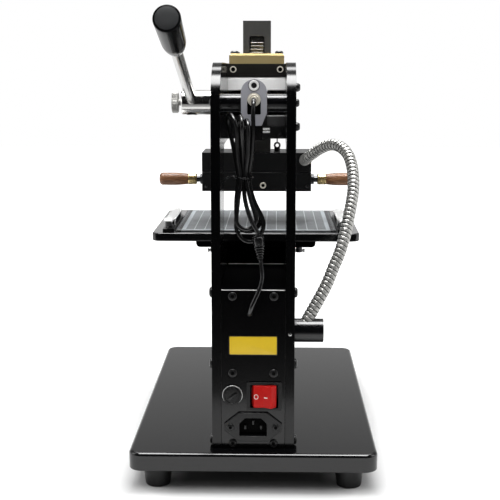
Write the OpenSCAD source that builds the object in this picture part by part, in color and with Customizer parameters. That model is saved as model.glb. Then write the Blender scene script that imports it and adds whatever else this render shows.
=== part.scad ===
// Lever-operated hot foil stamping machine: rack and pinion head over a sliding table.
// Millimetres, +Z up, operator at -Y, +X on the operator's right. The origin lies on the
// standing surface under the centre of the base plate.

/* [Base] */
// Width of the base plate
base_w = 220; // [190:1:260]
// Depth of the base plate
base_d = 364; // [340:1:420]
// Thickness of the base plate
base_t = 16.5; // [10:0.5:24]
// Corner radius of the base plate in plan
base_corner_r = 12; // [5:1:25]
// Chamfer round the base plate's top edge
base_edge = 1.2; // [0.5:0.1:3]
// Height of a foot
foot_h = 20; // [12:1:30]
// Diameter of a foot at the top
foot_d = 27; // [20:1:34]
// Distance of a foot's centre from the base plate's edges
foot_inset = 24; // [20:1:40]

/* [Frame] */
// Thickness of a side plate
plate_t = 8; // [6:0.5:12]
// Clear width between the side plates
plate_gap = 56.5; // [54:0.5:66]
// Height of the side plates above the base
frame_h = 338; // [320:1:360]
// Distance from the base's rear edge to the back of the frame
back_inset = 15; // [8:1:25]
// Depth of the frame's upright part
spine_d = 70; // [60:1:76]
// Height of the frame's head
head_h = 73.5; // [70:0.5:80]
// Depth of the frame's head from the back
head_reach = 219; // [212:1:230]
// Height of the pedestal under the table
pedestal_h = 161; // [155:1:170]
// Depth of the pedestal from the back
pedestal_reach = 247; // [240:1:262]
// Radius of the frame's top rear corner
top_round_r = 48; // [20:1:56]
// Radius of the frame's other outer corners
front_round_r = 10; // [4:1:16]
// Radius of the throat's inner corners
throat_r = 8; // [3:1:14]

/* [Ram and pinion] */
// Width of the square ram
ram_w = 27.5; // [26:0.5:28]
// Height of the ram's top above the frame at rest
ram_rise = 41.5; // [34:0.5:55]
// Distance of the ram's centre behind the head's front
ram_setback = 37; // [36:0.5:40]
// Running clearance of the ram in its guides, each side
ram_clear = 0.15; // [0.1:0.05:0.3]
// Gear module of the rack and pinion
gear_m = 1; // [0.9:0.05:1.05]
// Number of teeth on the pinion
pinion_teeth = 22; // [20:1:23]
// Width of the rack strip and of the pinion
rack_w = 12.6; // [10:0.1:13]
// Height of the pinion's axis above the head's lower edge
pinion_rise = 35.3; // [34.5:0.1:36.5]
// Diameter of the pinion shaft
shaft_d = 18; // [14:0.5:18]
// Diameter of the hub outside the frame
hub_d = 24.4; // [20:0.2:28]
// Length of the hub outside the frame
hub_l = 37.8; // [34:0.2:46]

/* [Lever] */
// Diameter of the lever rod
lever_d = 10; // [8:0.5:12]
// Length of the lever from the hub's axis to the knob's end
lever_l = 248; // [220:1:280]
// Angle of the lever above the horizontal at rest
lever_angle = 16.5; // [5:0.5:40]
// Length of the knob
knob_l = 77; // [60:1:100]
// Diameter of the knob at its end
knob_d = 22; // [18:0.5:28]
// Diameter of the thumb screw's head
thumb_d = 20.4; // [14:0.2:24]
// Thickness of the thumb screw's head
thumb_t = 6.5; // [4:0.5:10]

/* [Heater] */
// Width of the heater block
heater_w = 109; // [100:1:120]
// Depth of the heater block
heater_d = 56; // [52:1:62]
// Height of the heater block
heater_h = 19; // [18:0.5:24]
// Gap between the frame's head and the heater block at rest
heater_drop = 14; // [13:0.5:18]
// Height of the die holder
die_h = 19.1; // [17:0.1:20]
// Running gap between the heater block and the die holder
die_gap = 0.4; // [0.3:0.1:0.6]
// Diameter of a heater cartridge
cartridge_d = 8; // [6:0.5:8]
// Length of a wooden grip
grip_l = 29.5; // [24:0.5:34]
// Largest diameter of a wooden grip
grip_d = 12.8; // [11:0.2:13]

/* [Table] */
// Width of the table
table_w = 200; // [196:1:216]
// Depth of the table
table_d = 172; // [165:1:176]
// Thickness of the table
table_t = 8; // [6:0.5:10]
// Corner radius of the table in plan
table_corner_r = 8; // [3:0.5:14]
// Width of the mat on the table
mat_w = 157; // [150:1:157]
// Depth of the mat
mat_d = 149; // [140:1:160]
// Thickness of the mat
mat_t = 1.2; // [0.8:0.1:2]
// Width of the slide under the table
slide_w = 116; // [106:1:130]
// Thickness of the slide under the table
slide_t = 7.2; // [6:0.2:8]
// Distance of the table's rear edge in front of the frame's upright part
table_gap = 35; // [30:1:40]
// Width of a clamp
clamp_w = 11; // [10:0.5:12]
// Length of a clamp
clamp_l = 105; // [90:1:110]

/* [Rear cover] */
// Thickness of the rear cover
cover_t = 2.5; // [2:0.5:3]
// Height of the lower box, from the base to the shelf's top
box_h = 143.2; // [136:0.2:150]
// Thickness of the shelf
shelf_t = 10; // [8:0.5:12]
// Width of the rocker switch's bezel
bezel_w = 31; // [29:0.5:32]
// Height of the rocker switch's bezel
bezel_h = 25.5; // [24:0.5:27]
// Width of the power inlet's flange
inlet_w = 51; // [50:0.5:52]
// Height of the power inlet's flange
inlet_h = 26.5; // [26:0.5:28]
// Diameter of the fuse cap
fuse_d = 16.5; // [14:0.5:17.5]

/* [Hose and lead] */
// Outer diameter of the ribbed hose
hose_d = 11.2; // [10:0.2:12]
// Number of ribs on the hose
hose_ribs = 50; // [40:1:64]
// Diameter of the stub that takes the hose
stub_d = 21; // [18:0.5:24]
// Reach of the stub outside the frame
stub_l = 25.6; // [22:0.2:30]
// Diameter of the lamp's lead
cord_d = 3.8; // [3.2:0.1:3.9]
// Number of curls of a return spring
spring_curls = 14; // [10:1:16]
// Wire diameter of a return spring
spring_wire = 1.4; // [1:0.1:1.6]

/* [Hidden] */
$fn = 48;

// Small gaps: flat fits of one body, running fits of shafts, and the overshoot of cuts
fit = 0.05;
run = 0.05;
cut = 1;

// Frame levels and planes
base_top = foot_h + base_t;
back_y = base_d / 2 - back_inset;
in_x = plate_gap / 2;
out_x = in_x + plate_t;
frame_top = base_top + frame_h;
head_low = frame_top - head_h;
ped_top = base_top + pedestal_h;
spine_front = back_y - spine_d;
head_front = back_y - head_reach;
ped_front = back_y - pedestal_reach;

// Ram, rack and pinion
ram_y = head_front + ram_setback;
ram_rear = ram_y + ram_w / 2;
ram_top = frame_top + ram_rise;
pitch_r = gear_m * pinion_teeth / 2;
tip_r = pitch_r + gear_m;
root_r = pitch_r - 1.25 * gear_m;
pressure_angle = 20;
backlash = 0.16;
tip_gap = 0.5;
pinion_y = ram_rear - gear_m + pitch_r;
pinion_z = head_low + pinion_rise;
rack_depth = 6;
rack_slot_w = rack_w + 2.4;
rack_slot_r = 2;
rack_top = ram_top - 15;
rack_pitch = PI * gear_m;

// Head blocks
front_plate_t = 6;
block_front = head_front + front_plate_t;
block_rear = ram_rear + 14.75;
block_gap = 0.25;
lower_top = pinion_z - tip_r - 0.3;
bar_low = pinion_z + pitch_r;
bar_h = 14;
bar_top = bar_low + bar_h;
upper_top = frame_top - 0.5;
brass_h = 10;
brass_w = plate_gap - 2.6;
brass_bevel = 2;
spring_x = in_x - 7.75;
spring_bore_d = 10;
spring_r = 3.6;
spring_seat = 8;

// Heater and die holder
heater_top = head_low - heater_drop;
heater_low = heater_top - heater_h;
die_top = heater_low - die_gap;
die_low = die_top - die_h;
tongue_w = 40;
tongue_neck_w = 30;
tongue_neck_h = 3;
tongue_h = 7;
tongue_gap = 0.2;
tongue_stop = 4;
handle_z = die_low + die_h / 2;
stud_l = 7;
ferrule_l = 8.8;
ferrule_d = 11;
hose_port = [-heater_w / 2 + 6.5, ram_y + heater_d / 2, heater_top - 6.5];

// Lower box
box_top = base_top + box_h;
shelf_front = spine_front - 56;
bed_top = ped_top + 0.5;
bar_h_low = 10;
bar_d = 16;
bar_y = back_y - cover_t - bar_d;
mid_bar_z = base_top + 64;
mid_bar_h = 18;

// Table
slide_gap = 0.3;
slide_low = bed_top + slide_gap;
table_low = slide_low + slide_t;
table_top = table_low + table_t;
table_back = spine_front - table_gap;
table_y = table_back - table_d / 2;
slide_back = table_back - 10;
slide_l = 147;
slide_round = 4;
key_w = 24;
key_h = 8;
key_gap = 0.2;
lock_x = out_x + 6.25;
lock_y = table_back - 37;

// Clamps on the table
clamp_x = mat_w / 2 + 0.5 + clamp_w / 2;
clamp_back = table_back - 7;
clamp_front = clamp_back - clamp_l;
clamp_base_t = 3;
clamp_pin_y = clamp_back - 23;
clamp_pin_z = table_top + 6;
clamp_pin_d = 3;
clamp_top = table_top + 10;
clamp_skin = 1.2;
clamp_lever_w = clamp_w - 1;
clamp_post_w = 4;
clamp_post_l = 8;
clamp_post_r = 2.3;
clamp_cheek_r = 2.6;

// Rear cover fittings, at their places on the cover
switch_pos = [-9.8, base_top + 48.5];
fuse_pos = [18.2, base_top + 49.4];
inlet_pos = [0, base_top + 20.3];
cord_hole = [3, base_top + 122];
rocker_w = 23;
rocker_h = 20;
rocker_tilt = 12;
rocker_reach = 4.2;
rocker_depth = 2;
rocker_pin_d = 3.6;
rocker_pin_l = 1.2;
switch_body_w = 28;
switch_body_h = 24;
switch_body_d = 20;
cut_out_gap = 0.2;

// Controller in the front panel
panel_t = 3;
controller_w = 48;
controller_z = base_top + 84;
controller_bezel_t = 6;
controller_body_w = 44.6;
button_w = 8;
button_h = 5;
button_gap = 0.2;
button_drop = 15;
button_space = 4;
button_proud = 1.5;
button_deep = 3;
button_travel = 1;
controller_body_d = 60;
window_w = 38;
window_h = 23;
window_rise = 7.5;
window_deep = 1;

// Relay on the base, inside the lower box
relay_w = 44;
relay_d = 58;
relay_h = 26;
relay_front = shelf_front + 10;
relay_hole_d = 5;
relay_hole_h = 8;
relay_hole_in = 9;

// Tie rod, lamp and gland
tie_d = 16;
tie_y = spine_front + 30;
tie_z = pinion_z + 3.2;
bracket_w = 22.5;
bracket_t = 5;
bracket_y = tie_y + tie_d / 2 + 0.2;
bracket_top = tie_z + 20.5;
bracket_low = tie_z - 19.3;
gland_z = tie_z + 3.2;
gland_end = bracket_y + bracket_t + 6;
slot_w = 12;
lamp_w = 15;
lamp_d = 13;

// Hose stub
stub_pos = [back_y - 19, base_top + 103.5];
stub_spigot_d = 16;
stub_axis_x = -out_x - 11.5;
hose_bore_d = 7;
hose_rib = 0.7;
hose_seat_gap = 0.3;

// Frame bolts of a side plate as [y, z, head diameter, head height]; the upper one on the lever's side
// stays clear of the hub
bolt_d = 5;
bolt_gap = 0.1;
bolt_in = 8;
bolt_head_d = 9;
bolt_head_h = 2.6;
head_bolt_h = 6.8;
hose_side_drop = 3.3;
shelf_bolt_rise = 1.3;
tie_bolt_d = 7;
tie_bolt_h = 3.4;
mid_bolt_drop = 6.7;
bed_bolt_drop = 9;
bed_bolt_front = 25;
bed_bolt_rear = 5;
function bolts(side) = [[bar_y + bar_d / 2, box_top - shelf_t / 2 + shelf_bolt_rise, bolt_head_d,
    bolt_head_h],
    [bar_y + bar_d / 2, mid_bar_z + mid_bar_h - mid_bolt_drop, bolt_head_d, bolt_head_h],
    [bar_y + bar_d / 2, base_top + bar_h_low / 2, bolt_head_d, bolt_head_h],
    [(ram_rear + block_rear) / 2, bar_low + bar_h / 2 - (side < 0 ? hose_side_drop : 0), bolt_head_d,
        head_bolt_h],
    [(ram_rear + block_rear) / 2, (head_low + lower_top) / 2, bolt_head_d, head_bolt_h],
    [tie_y, tie_z, tie_bolt_d, tie_bolt_h],
    [ped_front + bed_bolt_front, bed_top - bed_bolt_drop, bolt_head_d, bolt_head_h],
    [shelf_front - bed_bolt_rear, bed_top - bed_bolt_drop, bolt_head_d, bolt_head_h]];

// Middle of the hank's waist, where it is tied, below the lead's way out of the gland
gland_exit = [0, gland_end, gland_z];
hank_mid = gland_exit + [8.7, 8.8, -66.5];
waist_pitch = cord_d + 0.65;
waist_row = waist_pitch * sin(60);
waist_straight = 2.5;

// Folds of the hank in the lead's order, each point as [across to -X, deep] from the middle: place at
// the waist in pitches and rows, half-way point and side on the way out, side and half-way point on the
// way back; then the sides' level, the fold's height over them and its lean
hank_folds = [[[1.1, 0], [9.4, 1.7], [17.2, 1.8], [-6.5, 1.8], [-6.2, 0.1], -40, -15.5, 0],
    [[-1, 0], [-7.9, -3.7], [-12.8, -9], [-5.8, 8.6], [-5, 5.8], 44, 9.8, -0.2],
    [[-0.5, 1], [-5, 5.7], [-6.2, 6.5], [11.2, 6.5], [6.1, 5.4], -35, -8.8, 0],
    [[0.5, 1], [4, 6.2], [4.6, 9], [0.6, -9.2], [3, -6.1], 40, 9.2, 0],
    [[0.5, -1], [7.5, -4.8], [14.8, -3.4], [-6.4, -3.4], [-4.5, -4.7], -36, -11, 0],
    [[-0.5, -1], [-3.6, -6.1], [-4.6, -9.2], [-0.8, 9], [-0.4, 2.5], 43, 9.6, 0]];
fold_steps = 6;
fold_over = 16;
hank_steps = 2;
hank_sides = 6;

// Connector on the lead: its two ends
connector_top = hank_mid + [-12.9, 10.6, -49];
connector_low = hank_mid + [-15, 10, -69.5];
connector_d = 10.2;

// The lead's route from the gland to the waist, and from the waist's middle to the connector
lead_route = [gland_exit, gland_exit + [0, 2, 0], gland_exit + [0, 4, 0], gland_exit + [0, 8.4, -1.1],
    gland_exit + [0, 12.4, -4.3], hank_mid + [-8.4, 6, 54], hank_mid + [-8.5, 5.2, 38],
    hank_mid + [-7.2, 2.4, 20], hank_mid + [-5.7, 0.7, 10]];
run_out = [hank_mid + [-0.45, 1.3, -10], hank_mid + [-1.8, 4.6, -20], hank_mid + [-4.8, 8.9, -30],
    hank_mid + [-8.9, 11, -39.5]];

// Route of the tail from the connector over the shelf's edge to the rear cover
tail_route = [connector_low + [-0.9, 1, -7.7], [-7.8, back_y + 1.2, box_top + 12.9],
    [-6.8, back_y + 4.4, box_top + 6.5], [-4.4, back_y + 7.2, box_top], [-1.4, back_y + 9, box_top - 6.5],
    [1, back_y + 9.6, box_top - 12], [2.4, back_y + 8.2, box_top - 17]];

// Route of the hose, counted from the heater's port, and the way it covers in all to the stub
hose_route = [[-4, 17, 4.5], [-14, 31, 13], [-23.5, 43, 17.5], [-32, 53, 16], [-38.5, 63, 9.5],
    [-41.5, 72, 0],
    [-42.5, 80, -10.5], [-42, 87, -21.5], [-39.5, 95, -34.5], [-36.5, 102, -47.5], [-32, 110, -62.5],
    [-26.5, 116, -75.5], [-21, 120, -86.5], [-14, 126, -100.5], [-7, 131.5, -113]];
hose_way = [0.25, 135, -133.9];

// Points and sweeps

function unit(v) = v / norm(v);

function tangent(p, i) = unit(p[min(i + 1, len(p) - 1)] - p[max(i - 1, 0)]);

function square_to(n, t) = unit(n - (n * t) * t);

// Normals along a path, each turned as little as possible from the last
function path_normals(p) =
    let (t0 = tangent(p, 0), n0 = square_to(abs(t0.x) < 0.8 ? [1, 0, 0] : [0, 1, 0], t0))
    [for (i = 0, n = n0; i < len(p); i = i + 1, n = i < len(p) ? square_to(n, tangent(p, i)) : n) n];

// Distance along a path at each of its points
function path_lengths(p) =
    [for (i = 0, s = 0; i < len(p); i = i + 1, s = i < len(p) ? s + norm(p[i] - p[i - 1]) : s) s];

// Smooth curve through points, with a number of steps between two of them
function spline(p, steps) =
    [for (i = [0:len(p) - 2], k = [0:steps - 1])
        let (a = p[max(i - 1, 0)], b = p[i], c = p[i + 1], d = p[min(i + 2, len(p) - 1)], t = k / steps)
        0.5 * (2 * b + (c - a) * t + (2 * a - 5 * b + 4 * c - d) * t * t
            + (3 * b - a - 3 * c + d) * t * t * t),
     p[len(p) - 1]];

// The same curve with a number of equal steps along its length
function even_path(p, steps) =
    let (s = path_lengths(p), l = s[len(s) - 1],
        x = [for (i = [0:len(p) - 1]) [s[i], p[i].x]],
        y = [for (i = [0:len(p) - 1]) [s[i], p[i].y]],
        z = [for (i = [0:len(p) - 1]) [s[i], p[i].z]])
    [for (k = [0:steps]) let (d = l * k / steps) [lookup(d, x), lookup(d, y), lookup(d, z)]];

function ring_points(p, r, sides) =
    let (n = path_normals(p))
    [for (i = [0:len(p) - 1], j = [0:sides - 1])
        let (t = tangent(p, i), b = cross(t, n[i]), a = 360 * j / sides)
        p[i] + r[i] * (cos(a) * n[i] + sin(a) * b)];

function wall_faces(rings, sides, first, outward) =
    [for (i = [0:rings - 2], j = [0:sides - 1], half = [0, 1])
        let (a = first + i * sides + j, b = first + i * sides + (j + 1) % sides, c = b + sides,
            d = a + sides,
            f = half == 0 ? [a, d, b] : [b, d, c])
        outward ? f : [f[2], f[1], f[0]]];

// Solid tube along a path, with one radius for each of its points
module tube(p, r, sides) {
    rings = len(p);
    last = (rings - 1) * sides;
    caps = [for (j = [1:sides - 2], end = [0, 1]) end == 0 ? [0, j, j + 1]
        : [last, last + j + 1, last + j]];
    polyhedron(points = ring_points(p, r, sides), faces = concat(wall_faces(rings, sides, 0, true), caps));
}

// Tube with a bore
module hollow_tube(p, r, bore_r, sides) {
    rings = len(p);
    inner = rings * sides;
    last = (rings - 1) * sides;
    ends = [for (j = [0:sides - 1], half = [0, 1], end = [0, 1])
        let (k = (j + 1) % sides, o = end == 0 ? 0 : last, i = inner + o)
        end == 0
            ? (half == 0 ? [o + j, o + k, i + j] : [o + k, i + k, i + j])
            : (half == 0 ? [o + j, i + j, o + k] : [o + k, i + j, i + k])];
    bore = [for (q = r) bore_r];
    polyhedron(points = concat(ring_points(p, r, sides), ring_points(p, bore, sides)),
        faces = concat(wall_faces(rings, sides, 0, true), wall_faces(rings, sides, inner, false), ends));
}

// Least distance between points of a path that lie further apart along it than a given number
function own_gap(p, apart, d) =
    min([for (i = [0:len(p) - 1 - apart], j = [i + apart:len(p) - 1]) norm(p[i] - p[j])]) - d;

// Simple shapes

// Profile in (y, z), drawn out along X from x0
module along_x(x0, l) {
    translate([x0, 0, 0]) rotate([90, 0, 90]) linear_extrude(l) children();
}

// Profile in (x, z), drawn out along Y from y0 to y1
module along_y(y0, y1) {
    translate([0, y1, 0]) rotate([90, 0, 0]) linear_extrude(y1 - y0) children();
}

// Box between two corners
module block(a, b) {
    translate(a) cube(b - a);
}

module rod_x(x0, x1, y, z, d) {
    translate([x0, y, z]) rotate([0, 90, 0]) cylinder(d = d, h = x1 - x0);
}

module rod_y(y0, y1, x, z, d) {
    translate([x, y1, z]) rotate([90, 0, 0]) cylinder(d = d, h = y1 - y0);
}

module rod_z(z0, z1, x, y, d) {
    translate([x, y, z0]) cylinder(d = d, h = z1 - z0);
}

module rounded(w, d, r) {
    square([w - 2 * r, d], center = true);
    square([w, d - 2 * r], center = true);
    for (sx = [-1, 1], sy = [-1, 1]) translate([sx * (w / 2 - r), sy * (d / 2 - r)]) circle(r);
}

// What a round of radius r takes off the corner at p; in_dir points into the material
module corner_cut(p, in_dir, r) {
    translate(p) difference() {
        translate([in_dir.x > 0 ? -cut : -r, in_dir.y > 0 ? -cut : -r]) square(r + cut);
        translate([in_dir.x * r, in_dir.y * r]) circle(r);
    }
}

// What fills the inner corner at p; out_dir points into the open space
module corner_fill(p, out_dir, r) {
    translate(p) difference() {
        translate([out_dir.x > 0 ? 0 : -r, out_dir.y > 0 ? 0 : -r]) square(r);
        translate([out_dir.x * r, out_dir.y * r]) circle(r);
    }
}

// Domed bolt along +X with its head's seat at the origin
module bolt(head_d, head_h, shank_l) {
    rotate([0, 90, 0]) {
        rotate_extrude() polygon([[0, 0], [head_d / 2, 0], [head_d / 2, head_h * 0.35],
            [head_d * 0.42, head_h * 0.75],
            [head_d * 0.26, head_h], [0, head_h]]);
        translate([0, 0, -shank_l]) cylinder(d = bolt_d, h = shank_l + fit);
    }
}

// Holes for the frame bolts, through everything that they pass
module bolt_holes() {
    for (side = [-1, 1], b = bolts(side)) rod_x(side > 0 ? out_x - plate_t - bolt_in - 1 : -out_x - cut,
        side > 0 ? out_x + cut : -out_x + plate_t + bolt_in + 1, b[0], b[1], bolt_d + 2 * bolt_gap);
}

// Gear forms

function involute(r, base_r) = r <= base_r ? 0 : sqrt(pow(r / base_r, 2) - 1) * 180 / PI - acos(base_r / r);

module pinion_profile() {
    base_r = pitch_r * cos(pressure_angle);
    half_tooth = 90 / pinion_teeth - backlash / 4 / pitch_r * 180 / PI + involute(pitch_r, base_r);
    flank = [root_r, base_r, (base_r + pitch_r) / 2, pitch_r, (pitch_r + tip_r) / 2, tip_r];
    polygon([for (tooth = [0:pinion_teeth - 1])
        let (mid = 180 + 360 * tooth / pinion_teeth)
        each concat(
            [for (r = flank) let (a = mid - half_tooth + involute(r, base_r)) r * [cos(a), sin(a)]],
            [for (i = [len(flank) - 1:-1:0])
                let (r = flank[i], a = mid + half_tooth - involute(r, base_r)) r * [cos(a), sin(a)]])]);
}

// Rack teeth in (y, z): tips at the ram's rear face, a space at the pinion's height
module rack_profile(z0, z1) {
    pitch_y = ram_rear - gear_m;
    root_y = ram_rear - 2.25 * gear_m;
    half_pitch = rack_pitch / 4 - backlash / 4;
    lean = tan(pressure_angle);
    first = ceil((z0 - pinion_z) / rack_pitch + 0.5);
    last = floor((z1 - pinion_z) / rack_pitch - 0.5);
    translate([ram_rear - rack_depth, z0]) square([root_y - ram_rear + rack_depth, z1 - z0]);
    for (k = [first:last]) let (zc = pinion_z + (k - 0.5) * rack_pitch)
        if (zc - rack_pitch / 2 > z0 && zc + rack_pitch / 2 < z1)
            polygon([[root_y - fit, zc - half_pitch - lean * (pitch_y - root_y)],
                [ram_rear, zc - half_pitch + lean * gear_m],
                [ram_rear, zc + half_pitch - lean * gear_m],
                [root_y - fit, zc + half_pitch + lean * (pitch_y - root_y)]]);
}

// Base

module base_plate() {
    color([0.07, 0.07, 0.075]) hull() for (sx = [-1, 1], sy = [-1, 1])
        translate([sx * (base_w / 2 - base_corner_r), sy * (base_d / 2 - base_corner_r), foot_h]) {
            cylinder(r = base_corner_r - base_edge / 2, h = base_t - fit, $fn = 32);
            translate([0, 0, base_edge / 2])
                cylinder(r = base_corner_r, h = base_t - 1.5 * base_edge, $fn = 32);
            cylinder(r = base_corner_r - base_edge, h = base_t, $fn = 32);
        }
}

module base_feet() {
    color([0.05, 0.05, 0.05]) for (sx = [-1, 1], sy = [-1, 1])
        translate([sx * (base_w / 2 - foot_inset), sy * (base_d / 2 - foot_inset), 0])
            cylinder(d1 = foot_d - 5, d2 = foot_d, h = foot_h);
}

// Frame

module plate_profile() {
    difference() {
        union() {
            translate([ped_front, base_top]) square([pedestal_reach, pedestal_h]);
            translate([spine_front, base_top]) square([spine_d, frame_h]);
            translate([head_front, head_low]) square([head_reach, head_h]);
            corner_fill([spine_front, ped_top], [-1, 1], throat_r);
            corner_fill([spine_front, head_low], [-1, -1], throat_r);
        }
        corner_cut([back_y, frame_top], [-1, -1], top_round_r);
        corner_cut([head_front, frame_top], [1, -1], front_round_r);
        corner_cut([head_front, head_low], [1, 1], front_round_r);
        corner_cut([ped_front, ped_top], [1, -1], front_round_r);
    }
}

module side_plate(side) {
    color([0.06, 0.06, 0.065]) difference() {
        along_x(side > 0 ? in_x : -out_x, plate_t) plate_profile();
        bolt_holes();
        rod_x(side > 0 ? in_x - cut : -out_x - cut, side > 0 ? out_x + cut : -in_x + cut,
            pinion_y, pinion_z, shaft_d + 6);
        if (side < 0) rod_x(-out_x - cut, -in_x + cut, stub_pos[0], stub_pos[1], stub_spigot_d + 2 * fit);
    }
}

module side_plate_left() {
    side_plate(-1);
}

module side_plate_right() {
    side_plate(1);
}

module cross_bars() {
    color([0.2, 0.2, 0.21]) difference() {
        union() {
            block([-in_x + fit, bar_y, base_top], [in_x - fit, bar_y + bar_d - fit, base_top + bar_h_low]);
            block([-in_x + fit, bar_y, mid_bar_z],
                [in_x - fit, bar_y + bar_d - fit, mid_bar_z + mid_bar_h]);
        }
        bolt_holes();
    }
}

module frame_bolts() {
    color([0.1, 0.1, 0.1]) for (side = [-1, 1], b = bolts(side))
        translate([side * out_x, b[0], b[1]]) rotate([0, 0, side > 0 ? 0 : 180])
            bolt(b[2], b[3], plate_t + bolt_in);
}

module tie_rod() {
    color([0.12, 0.12, 0.13]) difference() {
        rod_x(-in_x + fit, in_x - fit, tie_y, tie_z, tie_d);
        bolt_holes();
    }
}

// Lower box

module rear_cover() {
    color([0.05, 0.05, 0.055]) difference() {
        block([-in_x + 0.2, back_y - cover_t, base_top + 0.2], [in_x - 0.2, back_y, box_top]);
        translate([inlet_pos.x, 0, inlet_pos.y]) along_y(back_y - cover_t - cut, back_y + cut)
            square([28, 21], center = true);
        translate([switch_pos.x, 0, switch_pos.y]) along_y(back_y - cover_t - cut, back_y + cut)
            square([switch_body_w + 2 * cut_out_gap, switch_body_h + 2 * cut_out_gap], center = true);
        rod_y(back_y - cover_t - cut, back_y + cut, fuse_pos.x, fuse_pos.y, 12.8);
        rod_y(back_y - cover_t - cut, back_y + cut, cord_hole.x, cord_hole.y, cord_d + 1);
    }
}

module shelf_plate() {
    color([0.06, 0.06, 0.065]) difference() {
        block([-in_x + fit, shelf_front, box_top - shelf_t], [in_x - fit, back_y - cover_t - fit, box_top]);
        bolt_holes();
    }
}

module table_bed() {
    color([0.06, 0.06, 0.065]) difference() {
        block([-in_x + fit, ped_front, box_top], [in_x - fit, shelf_front - fit, bed_top]);
        block([-key_w / 2 - key_gap, ped_front - cut, bed_top - key_h - key_gap],
            [key_w / 2 + key_gap, shelf_front + cut, bed_top + cut]);
        bolt_holes();
    }
}

module front_panel() {
    color([0.06, 0.06, 0.065]) difference() {
        block([-in_x + fit, ped_front, base_top + fit], [in_x - fit, ped_front + panel_t, box_top - fit]);
        translate([0, 0, controller_z]) along_y(ped_front - cut, ped_front + panel_t + cut)
            square(controller_body_w + 0.4, center = true);
    }
}

// Middle of a controller button; index 0 to 2 from the operator's left
function button_x(index) = (index - 1) * (button_w + button_space);
button_z = controller_z - button_drop;

module controller_case() {
    color([0.12, 0.12, 0.13]) difference() {
        union() {
            block([-controller_w / 2, ped_front - controller_bezel_t, controller_z - controller_w / 2],
                [controller_w / 2, ped_front, controller_z + controller_w / 2]);
            block([-controller_body_w / 2, ped_front - fit, controller_z - controller_body_w / 2],
                [controller_body_w / 2, ped_front + controller_body_d,
                    controller_z + controller_body_w / 2]);
        }
        block([-window_w / 2, ped_front - controller_bezel_t - cut,
            controller_z + window_rise - window_h / 2],
            [window_w / 2, ped_front - controller_bezel_t + window_deep,
                controller_z + window_rise + window_h / 2]);
        for (i = [0:2]) translate([button_x(i), 0, button_z])
            along_y(ped_front - controller_bezel_t - cut,
                ped_front - controller_bezel_t + button_deep + button_travel + button_gap)
                square([button_w + 2 * button_gap, button_h + 2 * button_gap], center = true);
    }
}

module controller_button(index) {
    color([0.75, 0.75, 0.72]) translate([button_x(index), 0, button_z])
        along_y(ped_front - controller_bezel_t - button_proud, ped_front - controller_bezel_t + button_deep)
            rounded(button_w, button_h, 1);
}

module controller_button_set() {
    controller_button(0);
}

module controller_button_down() {
    controller_button(1);
}

module controller_button_up() {
    controller_button(2);
}

// Outline of the inlet's flange: ears at mid height
module inlet_outline() {
    polygon([[-inlet_w / 2, -3], [-inlet_w / 4, -inlet_h / 2], [inlet_w / 4, -inlet_h / 2],
        [inlet_w / 2, -3],
        [inlet_w / 2, 3], [inlet_w / 4, inlet_h / 2], [-inlet_w / 4, inlet_h / 2], [-inlet_w / 2, 3]]);
}

module inlet_cavity() {
    polygon([[-12, -8.2], [12, -8.2], [12, 3], [7, 8.2], [-7, 8.2], [-12, 3]]);
}

module power_inlet() {
    color([0.06, 0.06, 0.06]) translate([inlet_pos.x, 0, inlet_pos.y]) {
        difference() {
            union() {
                along_y(back_y, back_y + 2.5) inlet_outline();
                along_y(back_y - 22, back_y + fit) square([27.4, 20.4], center = true);
            }
            along_y(back_y - 14, back_y + 2.5 + cut) inlet_cavity();
        }
        for (p = [[-7, -1.2], [7, -1.2], [0, 3.2]]) along_y(back_y - 14 - fit, back_y - 1)
            translate(p) square([2, 4], center = true);
    }
}

module fuse_holder() {
    color([0.05, 0.05, 0.05]) translate([fuse_pos.x, 0, fuse_pos.y]) difference() {
        union() {
            rod_y(back_y, back_y + 1.5, 0, 0, fuse_d + 1);
            rod_y(back_y - 28, back_y + fit, 0, 0, 12.6);
        }
        rod_y(back_y - 26, back_y + 1.5 + cut, 0, 0, 8.4);
    }
}

module fuse_cap() {
    color([0.05, 0.05, 0.05]) translate([fuse_pos.x, 0, fuse_pos.y]) {
        translate([0, back_y + 1.8, 0]) rotate([-90, 0, 0]) rotate_extrude()
            polygon([[0, 0], [fuse_d / 2, 0],
            [fuse_d / 2, 3], [fuse_d / 2 - 1, 4], [0, 4]]);
        rod_y(back_y - 24, back_y + 1.8 + fit, 0, 0, 8.3 - 2 * run);
    }
}

module switch_bezel() {
    color([0.05, 0.05, 0.05]) translate([switch_pos.x, 0, switch_pos.y]) difference() {
        union() {
            along_y(back_y, back_y + 2) rounded(bezel_w, bezel_h, 1.5);
            along_y(back_y - switch_body_d, back_y + fit)
                square([switch_body_w, switch_body_h], center = true);
        }
        along_y(back_y - 14, back_y + 2 + cut) square([rocker_w + 1.8, rocker_h + 1], center = true);
        rod_z(-rocker_h / 2 - rocker_pin_l - 0.2, rocker_h / 2 + rocker_pin_l + 0.2, 0,
            back_y - rocker_depth,
            rocker_pin_d + 2 * run);
    }
}

// Rocker: two faces that meet on the axis, tipped about the vertical, and a pin in the bezel at each end
module switch_rocker() {
    color([0.75, 0.08, 0.06]) translate([switch_pos.x, back_y - rocker_depth, switch_pos.y])
        rotate([0, 0, -rocker_tilt]) {
        translate([0, 0, -rocker_h / 2]) linear_extrude(rocker_h)
            polygon([[-rocker_w / 2 + 1, -3], [rocker_w / 2 - 1, -3],
                [rocker_w / 2 - 0.4, rocker_reach + 1.6],
                [0, rocker_reach], [-rocker_w / 2 + 0.4, rocker_reach + 1.6]]);
        rod_z(-rocker_h / 2 - rocker_pin_l, rocker_h / 2 + rocker_pin_l, 0, 0, rocker_pin_d);
    }
}

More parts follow.
